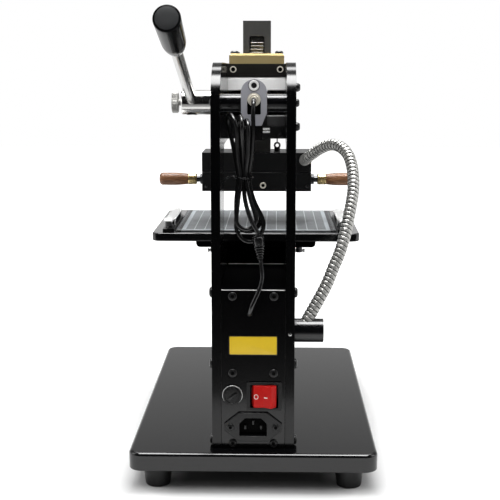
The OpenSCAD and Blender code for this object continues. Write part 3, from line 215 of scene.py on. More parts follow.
def walnut(name):
    """Wood with its grain along X: slow rings and short dark pores."""
    t = Tree(name)
    along = t.stretched((45.0, 420.0, 420.0))
    rings = t.noise(1.0, 5.0, 0.6, along, 1.2)
    pores = t.noise(1.0, 2.0, 0.7, t.stretched((160.0, 2600.0, 2600.0)))
    tone = t.mix(t.spread(rings, 0.0, 1.0, 0.36, 0.64), (0.085, 0.032, 0.012), (0.27, 0.125, 0.055))
    t.set(base_color=t.mix(t.spread(pores, 0.0, 0.7, 0.58, 0.7), tone, (0.04, 0.016, 0.008)),
          roughness=t.spread(rings, 0.34, 0.46), specular_ior_level=0.45)
    t.bump(t.math("ADD", rings, pores), 0.15)
    return t.material


def grid_mat(name):
    """Dark cutting mat: 10 mm grid, a pale band at each side and a black scale with ticks outside it."""
    middle, grid = -24.0, 10.0  # of the mat in depth; pitch of its lines
    t = Tree(name)
    x, y, _ = t.axes()
    across = t.math("ABSOLUTE", t.math("MULTIPLY", x, 1000.0))
    deep = t.math("SUBTRACT", t.math("MULTIPLY", y, 1000.0), middle)
    out = t.math("ABSOLUTE", deep)

    both, either = partial(t.math, "MULTIPLY"), partial(t.math, "MAXIMUM")
    below, above = partial(t.math, "LESS_THAN"), partial(t.math, "GREATER_THAN")

    def near(value, pitch, width):
        return below(t.math("PINGPONG", value, pitch / 2.0), width)

    lines = either(near(across, grid, 0.35), both(near(deep, grid, 0.4), 0.35))
    lines = both(lines, both(below(across, 70.0), below(out, 70.5)))
    rim = both(above(out, 68.2), below(out, 71.2))
    lines = either(lines, both(rim, below(across, 72.5)))
    band = both(both(above(across, 68.4), below(across, 72.2)), below(out, 70.4))
    short = both(near(deep, 2.0, 0.2), above(across, 75.4))
    long = both(near(deep, grid, 0.25), above(across, 73.6))
    ticks = both(both(either(short, long), below(across, 77.4)), below(out, 70.4))
    slow = t.noise(38.0, 5.0, 0.6)
    fine = t.noise(1900.0, 2.0)
    tone = t.mix(t.spread(slow, 0.0, 1.0), (0.13, 0.139, 0.146), (0.155, 0.165, 0.172))
    tone = t.mix(above(across, 72.6), tone, (0.012, 0.012, 0.013))
    tone = t.mix(either(both(lines, 0.8), both(ticks, 0.75)), tone, (0.62, 0.66, 0.68))
    tone = t.mix(both(band, 0.85), tone, (0.46, 0.50, 0.53))
    t.set(base_color=tone, roughness=t.spread(fine, 0.42, 0.6), specular_ior_level=0.32)
    t.bump(fine, 0.12)
    return t.material


def red_rocker(name):
    """Red moulded plastic of the switch."""
    t = Tree(name)
    slow = t.noise(150.0, 3.0)
    t.set(base_color=t.mix(t.spread(slow, 0.0, 1.0), (0.37, 0.007, 0.006), (0.44, 0.010, 0.008)),
          roughness=t.spread(t.noise(900.0), 0.3, 0.4), specular_ior_level=0.12)
    t.bump(t.noise(1200.0), 0.05)
    return t.material


M = {}


def add_look(name, *values, make=finish, **more):
    M[name] = make(name, *values, **more)


add_look("base_paint", (0.003, 0.003, 0.0034), 0.13, grain=(1100.0, 0.015), spread=0.03)
add_look("plate_paint", (0.0012, 0.0012, 0.0014), 0.15, level=0.36, grain=(1100.0, 0.015), spread=0.03)
add_look("cover_paint", (0.0012, 0.0012, 0.0014), 0.14, level=0.42, grain=(1900.0, 0.02), spread=0.03)
add_look("shelf_paint", (0.0012, 0.0012, 0.0013), 0.5, grain=(1700.0, 0.04), ior=1.04)
add_look("foot_rubber", (0.004, 0.004, 0.0042), 0.4, level=0.3, grain=(900.0, 0.1))
add_look("case_plastic", (0.018, 0.018, 0.019), 0.5, grain=(1600.0, 0.2))
# The knob's end face: a matt copy of its black plastic; the matt finish is its own, the lighter colour is
# painted sheen of a lamp on the face
add_look("knob_end", (0.0135, 0.014, 0.015), 0.5, grain=(1600.0, 0.03))
add_look("black_plastic", (0.003, 0.003, 0.0032), 0.3, level=0.4, grain=(1800.0, 0.06))
add_look("button_plastic", (0.55, 0.55, 0.53), 0.4, patch=(80.0, 0.05))
add_look("relay_plastic", (0.6, 0.59, 0.55), 0.5, patch=(60.0, 0.06))
add_look("dark_steel", (0.085, 0.085, 0.088), 0.34, metal=1.0, grain=(1300.0, 0.18))
add_look("block_black", (0.028, 0.027, 0.024), 0.36, metal=0.6, grain=(700.0, 0.12), stretch=(0.05, 1.0, 1.0))
add_look("brass", (0.44, 0.35, 0.16), 0.52, metal=0.8, patch=(40.0, 0.04), grain=(1500.0, 0.04),
         stretch=(0.04, 1.0, 1.0), warm=(0.46, 0.36, 0.17), make=brushed)
add_look("brass_turned", (0.62, 0.47, 0.22), 0.3, metal=0.9, patch=(90.0, 0.08), grain=(2600.0, 0.04),
         stretch=(1.0, 0.08, 0.08))
# The lever rod's steel is a darker copy of the polished steel: painted shade that dims the rod's reflections
for name, colour in (("polished_steel", (0.56, 0.555, 0.54)), ("rod_steel", (0.42, 0.416, 0.405))):
    add_look(name, colour, 0.19, metal=1.0, patch=(60.0, 0.05), grain=(2500.0, 0.02),
             stretch=(1.0, 0.05, 0.05), spread=0.04)
add_look("bright_steel", (0.70, 0.70, 0.69), 0.24, metal=1.0, patch=(80.0, 0.07), grain=(1700.0, 0.08))
add_look("zinc", (0.40, 0.396, 0.38), 0.5, metal=0.6, patch=(90.0, 0.10), grain=(2100.0, 0.15))
add_look("spring_wire", (0.42, 0.42, 0.43), 0.28, metal=1.0, grain=(2200.0, 0.08))
add_look("bracket_grey", (0.36, 0.362, 0.40), 0.45, metal=0.25, grain=(1900.0, 0.16), patch=(60.0, 0.08))
add_look("gloss_black", (0.002, 0.002, 0.0026), 0.24, grain=(1500.0, 0.015), spread=0.03)
add_look("bar_white", (0.92, 0.92, 0.91), 0.5, metal=0.15, grain=(1500.0, 0.03), patch=(40.0, 0.03),
         stretch=(0.03, 1.0, 1.0), make=brushed)
add_look("ring_white", (0.84, 0.84, 0.83), 0.4, metal=0.2, grain=(1500.0, 0.03), patch=(60.0, 0.04))
add_look("gland_cream", (0.78, 0.74, 0.64), 0.34, metal=0.3, grain=(1700.0, 0.04), patch=(90.0, 0.05))
add_look("clamp_bright", (0.90, 0.90, 0.89), 0.34, metal=0.35, grain=(1500.0, 0.03), patch=(50.0, 0.03),
         stretch=(1.0, 0.05, 1.0))
add_look("roller_grey", (0.045, 0.045, 0.047), 0.45, grain=(1500.0, 0.08))
add_look("panel_dark", (0.034, 0.034, 0.035), 0.4, grain=(1500.0, 0.05), patch=(40.0, 0.1))
add_look("black_metal", (0.005, 0.005, 0.0052), 0.3, level=0.42, grain=(1500.0, 0.06))
add_look("hose_steel", (0.43, 0.427, 0.41), 0.40, metal=0.62, patch=(70.0, 0.10), grain=(2300.0, 0.04))
add_look("knob_plastic", (0.0022, 0.0022, 0.0025), 0.14, level=0.05, grain=(1500.0, 0.02), spread=0.04)
add_look("ram_steel", (0.075, 0.074, 0.071), 0.42, metal=0.3, patch=(50.0, 0.1), grain=(1100.0, 0.12),
         stretch=(1.0, 1.0, 0.06))
add_look("rack_steel", (0.46, 0.45, 0.43), 0.3, metal=1.0, grain=(1400.0, 0.06))
add_look("heater_metal", (0.0045, 0.0046, 0.005), 0.36, level=0.45, grain=(1500.0, 0.08))
add_look("walnut", make=walnut)
add_look("mat_plastic", make=grid_mat)
add_look("cord_rubber", (0.004, 0.004, 0.0043), 0.24, level=0.6, grain=(1600.0, 0.04), patch=(120.0, 0.2),
         spread=0.05)
add_look("rocker_plastic", make=red_rocker)
add_look("mark_white", (0.8, 0.76, 0.73), 0.45, patch=(300.0, 0.04))
add_look("yellow_plate", (0.66, 0.45, 0.012), 0.4, patch=(90.0, 0.06), grain=(1500.0, 0.06))
add_look("dark_edge", (0.02, 0.017, 0.01), 0.5, patch=(150.0, 0.1))
add_look("lens_glass", (0.75, 0.76, 0.74), 0.08, patch=(200.0, 0.05), grain=(800.0, 0.02), coat=0.5)
add_look("window_dark", (0.006, 0.007, 0.009), 0.08, patch=(120.0, 0.2), grain=(900.0, 0.01), coat=0.5)
# A black used only for painted shade: fills and sheets in hollows and recesses, and the hose's core
add_look("socket_dark", (0.0015, 0.0015, 0.0015), 0.7, level=0.05, patch=(200.0, 0.2))

# Nodes by the look they wear, and by the width of their rounded edges in millimetres
NODE_LOOKS = {
    "base_paint": "base_plate table_plate",
    "foot_rubber": "base_feet",
    "plate_paint": "side_plate_left side_plate_right head_front_plate",
    "cover_paint": "rear_cover front_panel",
    "shelf_paint": "shelf_plate table_bed table_slide",
    "case_plastic": "controller_case",
    "black_plastic": "power_inlet fuse_holder switch_bezel fuse_cap",
    "relay_plastic": "power_relay",
    "black_metal": "cross_bars frame_bolts lamp_body spring_eyes clamp_bases",
    "gloss_black": "tie_rod hose_stub",
    "block_black": "upper_block",
    "brass": "brass_guide shaft_bushes",
    "bar_white": "slide_bar",
    "dark_steel": "lower_block handle_studs table_lock_left table_lock_right",
    "spring_wire": "return_spring_left return_spring_right",
    "bracket_grey": "lamp_bracket",
    "gland_cream": "cord_gland",
    "hose_steel": "heater_hose",
    "cord_rubber": "cord_lead cord_hank cord_connector cord_tail",
    "polished_steel": "pinion_shaft",
    "rack_steel": "drive_pinion ram_rack",
    "rod_steel": "lever_rod",
    "knob_plastic": "lever_knob",
    "zinc": "thumb_screw",
    "ram_steel": "ram",
    "heater_metal": "heater_block die_holder",
    "bright_steel": "heater_cartridges clamp_lever_left clamp_lever_right",
    "brass_turned": "handle_ferrules",
    "walnut": "handle_grips",
    "mat_plastic": "table_mat",
    "rocker_plastic": "switch_rocker",
    "button_plastic": "controller_button_set controller_button_down controller_button_up",
}
EDGES = {
    0.08: "brass_guide",
    0.2: "slide_bar",
    0.3: "ram_rack fuse_holder clamp_bases handle_studs pinion_shaft",
    0.4: "front_panel upper_block lower_block ram switch_bezel controller_button_set controller_button_down "
         "controller_button_up lamp_body cross_bars",
    0.5: "table_bed heater_block die_holder table_slide power_inlet",
    0.6: "controller_case lamp_bracket head_front_plate",
    0.7: "rear_cover shelf_plate table_mat",
    0.8: "side_plate_left side_plate_right power_relay",
    1.0: "hose_stub",
    1.2: "table_plate base_feet",
}


def round_edges(obj, width):
    weld = obj.modifiers.new("weld", "WELD")
    weld.merge_threshold = 1e-6
    flat = obj.modifiers.new("flat", "DECIMATE")
    flat.decimate_type, flat.angle_limit = "DISSOLVE", radians(1.0)
    edge = obj.modifiers.new("edge", "BEVEL")
    edge.width, edge.segments, edge.limit_method = width * MM, 3, "ANGLE"
    edge.angle_limit, edge.use_clamp_overlap = radians(38), True
    even_out = obj.modifiers.new("even_out", "WEIGHTED_NORMAL")
    even_out.weight = 80


def dress_nodes():
    for look, names in NODE_LOOKS.items():
        for name in names.split():
            materials = NODES[name].data.materials
            materials.clear()
            materials.append(M[look])
    for width, names in EDGES.items():
        for name in names.split():
            round_edges(NODES[name], width)


dress_nodes()


# Mesh helpers: each gives (points in mm, faces)

def frames(points):
    """A direction and two square ones at each point, turned as little as possible from one to the next."""
    p = [Vector(q) for q in points]
    out, side = [], None
    for i, q in enumerate(p):
        d = (p[min(i + 1, len(p) - 1)] - p[max(i - 1, 0)]).normalized()
        if side is None:
            side = d.orthogonal().normalized()
        side = (side - d * side.dot(d)).normalized()
        out.append((q, d, side, d.cross(side)))
    return out


def wall(rings, sides):
    """Faces of a closed form whose points come ring by ring."""
    faces = []
    for i in range(rings - 1):
        for j in range(sides):
            a, b = i * sides + j, i * sides + (j + 1) % sides
            faces.append((a, b, b + sides, a + sides))
    last = (rings - 1) * sides
    return faces + [tuple(reversed(range(sides))), tuple(range(last, last + sides))]


def sweep(points, radius, sides=12):
    """A round tube along points; radius is a number or radius(share of the way, angle in turns)."""
    verts = []
    f = frames(points)
    run = [0.0]
    for i in range(1, len(f)):
        run.append(run[-1] + (f[i][0] - f[i - 1][0]).length)
    for (p, _, u, v), s in zip(f, run):
        for j in range(sides):
            a = 2 * pi * j / sides
            r = radius(s / run[-1], j / sides) if callable(radius) else radius
            verts.append(p + u * (r * cos(a)) + v * (r * sin(a)))
    return verts, wall(len(f), sides)


def quarter(steps, first=1):
    """Sine and cosine at even steps through a quarter turn."""
    return [(sin(pi / 2 * k / steps), cos(pi / 2 * k / steps)) for k in range(first, steps + 1)]


def basis(axis):
    """A direction and two square ones."""
    d = Vector(axis).normalized()
    u = (Vector((0, 0, 1)) if abs(d.z) < 0.9 else Vector((1, 0, 0))).cross(d).normalized()
    return d, u, d.cross(u)


def lathe(origin, axis, profile, sides=32, wave=None):
    """Turned form: profile is (way along axis, radius) or (way, across flats, 'hex')."""
    d, u, v = basis(axis)
    o = Vector(origin)
    verts = []
    for ring in profile:
        for j in range(sides):
            a = 2 * pi * j / sides
            r = ring[1]
            if len(ring) > 2:
                r = r / 2 / cos((a + pi / 6) % (pi / 3) - pi / 6)
            if wave:
                r += wave(ring[0], a)
            verts.append(o + d * ring[0] + u * (r * cos(a)) + v * (r * sin(a)))
    return verts, wall(len(profile), sides)


def slab(outline, low, high, edge, place, steps=2):
    """Prism of a counter-clockwise outline with rounded rims; place(a, b, level) gives a point."""
    n = len(outline)
    inward = []
    for i in range(n):
        a, b, c = (Vector(outline[(i + k) % n]) for k in (-1, 0, 1))
        e0, e1 = (b - a).normalized(), (c - b).normalized()
        n0, n1 = Vector((-e0.y, e0.x)), Vector((-e1.y, e1.x))
        m = n0 + n1
        inward.append(m / max(0.4, m.dot(n0)))
    levels = [(low + edge * (1 - s), edge * (1 - c)) for s, c in reversed(quarter(steps, 0))]
    levels += [(low + high - z, inset) for z, inset in reversed(levels)]
    verts = []
    for z, inset in levels:
        for q, m in zip(outline, inward):
            verts.append(Vector(place(q[0] + m.x * inset, q[1] + m.y * inset, z)))
    return verts, wall(len(levels), n)


def rounded_outline(w, h, r, steps=6):
    out = []
    for right, up, start in ((1, 1, 0), (-1, 1, 90), (-1, -1, 180), (1, -1, 270)):
        for k in range(steps + 1):
            a = radians(start + 90 * k / steps)
            out.append((right * (w / 2 - r) + r * cos(a), up * (h / 2 - r) + r * sin(a)))
    return out


def on_back(x0, z0, y0):
    """Places an outline seen from behind on a rear face."""
    return lambda a, b, level: (x0 - a, y0 + level, z0 + b)


def join(*parts):
    verts, faces = [], []
    for v, f in parts:
        n = len(verts)
        verts += list(v)
        faces += [tuple(i + n for i in face) for face in f]
    return verts, faces


def piece(name, shape, look, body="frame", replaces="", smooth=32.0):
    """An object from (points in mm, faces). Its slot holds its look's material, and edges sharper than smooth
    degrees stay sharp."""
    mesh = bpy.data.meshes.new(name)
    mesh.from_pydata([Vector(v) * MM for v in shape[0]], [], shape[1])
    mesh.update()
    obj = add_object(name, mesh)
    mesh.materials.append(M[look])
    mesh.shade_smooth()
    mesh.set_sharp_from_angle(angle=radians(smooth))
    if body:
        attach(obj, body)
    if replaces:
        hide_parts(*replaces.split())
    return obj


def spline(points, steps):
    """A smooth curve through the points."""
    p = [Vector(q) for q in points]
    n = len(p)
    out = []
    for i in range(n - 1):
        a, b, c, d = p[max(i - 1, 0)], p[i], p[i + 1], p[min(i + 2, n - 1)]
        for k in range(steps):
            t = k / steps
            square, cube = 2 * a - 5 * b + 4 * c - d, 3 * b - a - 3 * c + d
            out.append(0.5 * (2 * b + (c - a) * t + square * t * t + cube * t ** 3))
    return out + [p[-1]]


def even(points, steps):
    """The same curve with points at even distances."""
    p = [Vector(q) for q in points]
    run = [0.0]
    for a, b in zip(p, p[1:]):
        run.append(run[-1] + (b - a).length)
    out, i = [], 0
    for k in range(steps + 1):
        s = run[-1] * k / steps
        while i < len(run) - 2 and run[i + 1] < s:
            i += 1
        t = (s - run[i]) / max(1e-9, run[i + 1] - run[i])
        out.append(p[i].lerp(p[i + 1], t))
    return out


# Cords, on the routes of the part's source

GLAND_EXIT = Vector((0, 146.2, 342.7))
HANK_MID = GLAND_EXIT + Vector((8.7, 8.8, -66.5))
WAIST_PITCH, WAIST_STRAIGHT, FOLD_STEPS, FOLD_OVER = CORD_D + 0.65, 2.5, 6, 16.0
WAIST_ROW = WAIST_PITCH * sin(radians(60))
# Folds of the hank: place at the waist, half-way point and side out, side and half-way point back, level,
# height and lean
FOLDS = (
    ((1.1, 0), (9.4, 1.7), (17.2, 1.8), (-6.5, 1.8), (-6.2, 0.1), -40, -15.5, 0),
    ((-1, 0), (-7.9, -3.7), (-12.8, -9), (-5.8, 8.6), (-5, 5.8), 44, 9.8, -0.2),
    ((-0.5, 1), (-5, 5.7), (-6.2, 6.5), (11.2, 6.5), (6.1, 5.4), -35, -8.8, 0),
    ((0.5, 1), (4, 6.2), (4.6, 9), (0.6, -9.2), (3, -6.1), 40, 9.2, 0),
    ((0.5, -1), (7.5, -4.8), (14.8, -3.4), (-6.4, -3.4), (-4.5, -4.7), -36, -11, 0),
    ((-0.5, -1), (-3.6, -6.1), (-4.6, -9.2), (-0.8, 9), (-0.4, 2.5), 43, 9.6, 0),
)
CONNECTOR_TOP = HANK_MID + Vector((-12.9, 10.6, -49))
CONNECTOR_LOW = HANK_MID + Vector((-15, 10, -69.5))
CORD_HOLE = Vector((3, BACK_Y + 1, 158.5))


def hank_at(across, deep, z):
    return HANK_MID + Vector((-across, deep, z))


def waist_at(place, z):
    return hank_at(WAIST_PITCH * place[0], WAIST_ROW * place[1], z)


def fold_points(fold):
    place, out, side_a, side_b, back, level, height, lean = fold
    mid, half = (Vector(side_a) + Vector(side_b)) / 2, (Vector(side_a) - Vector(side_b)) / 2
    points = [waist_at(place, copysign(WAIST_STRAIGHT, level)), hank_at(*out, level / 2)]
    for k in range(FOLD_STEPS + 1):
        turn = radians((180 + 2 * FOLD_OVER) * k / FOLD_STEPS - FOLD_OVER)
        over, flat = height * sin(turn), mid + half * cos(turn)
        points.append(hank_at(flat.x + lean * over, flat.y, level + over))
    return points + [hank_at(*back, level / 2)]


def make_cords():
    along = (CONNECTOR_LOW - CONNECTOR_TOP).normalized()
    points = [GLAND_EXIT + Vector((0, *q)) for q in ((0, 0), (2, 0), (4, 0), (8.4, -1.1), (12.4, -4.3))]
    points += [hank_at(8.4, 6, 54), hank_at(8.5, 5.2, 38), hank_at(7.2, 2.4, 20), hank_at(5.7, 0.7, 10)]
    points += [waist_at(FOLDS[0][0], k * WAIST_STRAIGHT) for k in (2, 1, 0, -1, -2)]
    for k, fold in enumerate(FOLDS):
        points += fold_points(fold)[0 if k else 1:]
    points += [waist_at((0, 0), WAIST_STRAIGHT), waist_at((0, 0), -WAIST_STRAIGHT), hank_at(0.45, 1.3, -10),
               hank_at(1.8, 4.6, -20), hank_at(4.8, 8.9, -30), hank_at(8.9, 11, -39.5)]
    points += [CONNECTOR_TOP - 1.5 * k * along for k in (2, 1, 0)]
    path = spline(points, 9)
    cord = piece("lamp_cord", sweep(path, CORD_D / 2, 14), "cord_rubber", replaces="cord_lead cord_hank")

    long = (CONNECTOR_LOW - CONNECTOR_TOP).length
    ribs = [(0, 2.2), (0.2, 3.6), (0.8, 4.6), (1.8, 5.0), (3.0, 5.1), (7.2, 5.1), (8.0, 4.95), (8.5, 4.4),
            (8.7, 3.7)]
    for k in range(5):
        s, r = 9.3 + 2.25 * k, 4.7 - 0.42 * k
        ribs += [(s + way, r - less) for way, less in (
            (0, 1.5), (0.1, 0.5), (0.3, 0.1), (0.6, 0), (0.9, 0.1), (1.1, 0.5), (1.2, 1.5))]
    ribs += [(long * 0.99, 2.4), (long, 2.1)]
    connector = piece("cord_plug", lathe(CONNECTOR_TOP, along, ribs, 28), "cord_rubber",
                      replaces="cord_connector")

    tail = spline([CONNECTOR_LOW + 1.5 * k * along for k in range(3)] + [
        CONNECTOR_LOW + Vector((-0.9, 1, -7.7)), (-7.8, 168.2, 192.6), (-6.8, 171.4, 186.2),
        (-4.4, 174.2, 179.7), (-1.4, 176, 173.2), (1, 176.6, 167.7), (2.4, 175.2, 162.7),
        CORD_HOLE + Vector((0, 4.2, 1.2)), CORD_HOLE, CORD_HOLE - Vector((0, 6, 0))], 8)
    rope = piece("lamp_cord_tail", sweep(tail, CORD_D / 2, 14), "cord_rubber", replaces="cord_tail")

    tie = make_tie(path)


def make_tie(turns):
    """Wire tie round the hank's waist, with its twisted ends."""
    level, wire, twist = HANK_MID.z + 0.5, 0.85, 0.5
    cut = []
    for a, b in zip(turns, turns[1:]):
        if (a.z - level) * (b.z - level) < 0:
            cut.append(a.lerp(b, (level - a.z) / (b.z - a.z)))
    cx = sum(p.x for p in cut) / len(cut)
    cy = sum(p.y for p in cut) / len(cut)
    ring = []
    for k in range(49):
        a = 2 * pi * k / 48
        d = Vector((cos(a), sin(a)))
        reach = max((p.x - cx) * d.x + (p.y - cy) * d.y for p in cut) + CORD_D / 2 + 0.95
        ring.append(Vector((cx + d.x * reach, cy + d.y * reach, level + 0.6 * sin(2 * a))))
    start = max(ring, key=lambda q: q.x)
    ends = []
    for side in (0, 1):
        p = []
        for k in range(25):
            t = k / 24
            a = 9 * pi * t + pi * side
            base = start.lerp(start + Vector((9.0, 2.0, -2.6)), t)
            base.z += 2.4 * sin(pi * t)
            p.append(base + Vector((0, cos(a), sin(a))) * (twist + 3.0 * max(0.0, t - 0.75)))
        ends.append(sweep(p, twist, 8))
    return piece("cord_tie", join(sweep(ring, wire, 10), *ends), "cord_rubber")


make_cords()


# Base

def make_base():
    """Base plate with round top and bottom edges."""
    low_r, top_r, steps = 1.2, 3.0, 10
    profile = [(low_r + 0.1, BASE_LOW), (low_r, BASE_LOW)]
    profile += [(low_r * (1 - s), BASE_LOW + low_r * (1 - c)) for s, c in quarter(5)]
    profile += [(top_r * (1 - c), BASE_TOP - top_r * (1 - s)) for s, c in quarter(10, 0)]
    profile.append((top_r + 0.2, BASE_TOP))
    verts = []
    for inset, z in profile:
        outline = rounded_outline(BASE_W - 2 * inset, BASE_L - 2 * inset, BASE_R - inset, steps)
        verts += [(x, y, z) for x, y in outline]
    piece("base_slab", (verts, wall(len(profile), 4 * (steps + 1))), "base_paint", replaces="base_plate")


make_base()


# Hose and springs

def make_hose():
    """Wound metal hose: flat ribs with a groove between them, over a black core that paints the shade in the
    grooves.
    """
    start = Vector((-48, 13.3, 280.5))
    mouth = Vector((-47.75, 148, 146.6))
    route = [(-4, 17, 4.5), (-14, 31, 13), (-23.5, 43, 17.5), (-32, 53, 16), (-38.5, 63, 9.5), (-41.5, 72, 0),
             (-42.5, 80, -10.5), (-42, 87, -21.5), (-39.5, 95, -34.5), (-36.5, 102, -47.5),
             (-32.6, 109.6, -62.5), (-28.2, 115, -75.5), (-23.2, 119.4, -86.5), (-17.2, 124.8, -100.5),
             (-10.2, 130, -113)]
    slack = mouth - start - Vector((0.25, 135, -133.9))
    points = [start, start + Vector((0, 3, 0)), start + Vector((0, 6, 0))]
    points += [start + Vector(q) + slack * ((i + 1) / len(route)) for i, q in enumerate(route)]
    points += [mouth + Vector(q) for q in ((-4.4, -2.0, 10.6), (0.4, 0.2, 2.4), (3.0, 1.0, -2.0))]
    ribs, flat, groove, crown = 64, 0.77, 1.3, 0.25
    shoulder = HOSE_D / 2 - crown

    def radius(share, turn):
        k = (share * ribs + turn) % 1.0
        if k > flat:
            return shoulder - groove * sin(pi * (k - flat) / (1 - flat))
        return shoulder + crown * sin(pi * k / flat) ** 0.6

    path = spline(points, 24)
    hose = piece("hose_wound", sweep(even(path, ribs * 16), radius, 28), "hose_steel", None,
                 replaces="heater_hose", smooth=50)
    # The black core shows through the grooves as painted shade
    shade_core = piece("hose_core", sweep(even(path, 160), HOSE_D / 2 - 0.55, 20), "socket_dark", None)
    for part in (hose, shade_core):
        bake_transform(part)


def make_springs():
    low, high, tail, curls, per_curl, r = 296.1, 369.3, 5.0, 14, 24, 3.6
    steps = curls * per_curl
    for side, name in SIDES:
        o = Vector((side * 20.5, RAM_Y, 0))
        foot, top = o + Vector((0, 0, low)), o + Vector((0, 0, high))
        p = [foot, o + Vector((0, 0, low + tail / 2))]
        for k in range(steps + 1):
            ramp = min(1.0, k / per_curl, (steps - k) / per_curl)
            rr, a = r * sin(pi / 2 * ramp), 2 * pi * k / per_curl
            z = low + tail + (high - low - 2 * tail) * k / steps
            p.append(o + Vector((rr * cos(a), rr * sin(a), z)))
        p += [o + Vector((0, 0, high - tail / 2)), top]
        spring = piece("return_coil_" + name, sweep(p, 0.7, 10), "spring_wire", None,
                       replaces="return_spring_" + name)
        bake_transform(spring)


make_hose()
make_springs()


# Turned pieces: knob, grips, ferrules, thumb screw

def make_turned():
    a = radians(LEVER_ANGLE)
    axis = Vector((0, cos(a), sin(a)))
    start = Vector((LEVER_X, *PINION)) + axis * (LEVER_L - KNOB_L)
    r, neck, neck_r, bell, bell_r, rim = KNOB_D / 2, 0.4, 6.5, 25.6, KNOB_D / 2 * 0.94, 1.6
    profile = [(0, 5.3), (0, 6.2), (neck, neck_r)]
    for k in range(1, 17):
        t = k / 16
        profile.append((neck + (bell - neck) * t, neck_r + (bell_r - neck_r) * sin(pi / 2 * t) ** 0.9))
    for k in range(1, 9):
        profile.append((bell + (KNOB_L - bell - 1.8) * k / 8, bell_r + (r - bell_r) * k / 8))
    profile += [(KNOB_L - rim * (1 - s), r - rim * (1 - c)) for s, c in quarter(6)]
    profile += [(KNOB_L - 0.15, r - 2.6), (KNOB_L - 0.1, 3.0)]
    piece("knob_turned", lathe(start, axis, profile, 48), "knob_plastic", "lever", replaces="lever_knob",
          smooth=40)
    # End face in the lighter copy of the knob's plastic, which paints its sheen
    face = [(KNOB_L - 1.2, r - 1.1), (KNOB_L - 0.1, r - 1.5), (KNOB_L + 0.02, r - 1.9), (KNOB_L + 0.04, 4.0),
            (KNOB_L + 0.04, 0.02)]
    piece("knob_face", lathe(start, axis, face, 48), "knob_end", "lever")

    ferrule = [(0, 3.1), (0, 4.6), (0.35, 5.1), (0.9, 5.4), (1.5, 5.5), (8.2, 5.5), (8.5, 5.42),
               (FERRULE_L, 5.3), (FERRULE_L, 3.1)]
    throat, swell, fall, widest, body = 5.35, 1.05, 0.12, 0.55, 26.0
    grip = [(0, 3.0), (0, 5.0), (0.3, throat)]
    for k in range(1, 21):
        t = k / 20
        out = swell * sin(pi / 2 * min(1, t / widest)) - fall * max(0, (t - widest) / (1 - widest))
        grip.append((0.3 + body * t, throat + out))
    grip += [(0.3 + body + 3.2 * s, throat + swell - fall - 3.6 * (1 - c)) for s, c in quarter(8)]

    def on_both_sides(profile, out):
        return join(*[lathe((side * out, RAM_Y, HANDLE_Z), (side, 0, 0), profile, 40) for side in (-1, 1)])

    foot = HEATER_W / 2 + STUD_L
    piece("grips_turned", on_both_sides(grip, foot + FERRULE_L), "walnut", "die", replaces="handle_grips",
          smooth=40)
    piece("ferrules_turned", on_both_sides(ferrule, foot), "brass_turned", "die",
          replaces="handle_ferrules", smooth=35)

    p = [(69.4, 1.2), (69.4, 2.7), (69.8, 3.0), (77.0, 3.0), (77.35, 3.2), (77.35, 9.2), (77.6, 9.7),
         (78.0, 10.0)]
    p += [(78.3 + 0.35 * k, 10.2) for k in range(15)]
    p += [(83.4, 9.9), (83.7, 9.5), (83.85, 8.8), (83.85, 5.6), (83.3, 5.2), (83.2, 1.0)]
    ridges, deep = 44, 0.5

    def knurl(s, angle):
        return -deep * (0.5 + 0.5 * cos(ridges * angle)) if 78.2 <= s <= 83.3 else 0.0

    piece("thumb_knurled", lathe((0, *PINION), (1, 0, 0), p, 4 * ridges, knurl), "zinc", "thumb",
          replaces="thumb_screw", smooth=38)


make_turned()


# Screws

def button_screw(at, axis, d, h, flats):
    """Domed head with a hexagon socket."""
    r = d / 2
    p = [(0, r * 0.97), (h * 0.1, r), (h * 0.3, r)]
    p += [(h * (0.3 + 0.7 * s), r * (0.47 + 0.53 * c)) for s, c in quarter(7)]
    p += [(h * 0.99, flats * 0.56), (h * 0.93, flats, "hex"), (h * 0.3, flats, "hex"), (h * 0.25, 0.02)]
    return lathe(at, axis, p, 36)


def cap_screw(at, axis, d, h, flats):
    """Flat head with a hexagon socket."""
    r = d / 2
    p = [(0, r), (h - 0.35, r), (h - 0.1, r - 0.12), (h, r - 0.4), (h, flats * 0.62),
         (h - 0.15, flats, "hex"), (h * 0.35, flats, "hex"), (h * 0.3, 0.02)]
    return lathe(at, axis, p, 36)


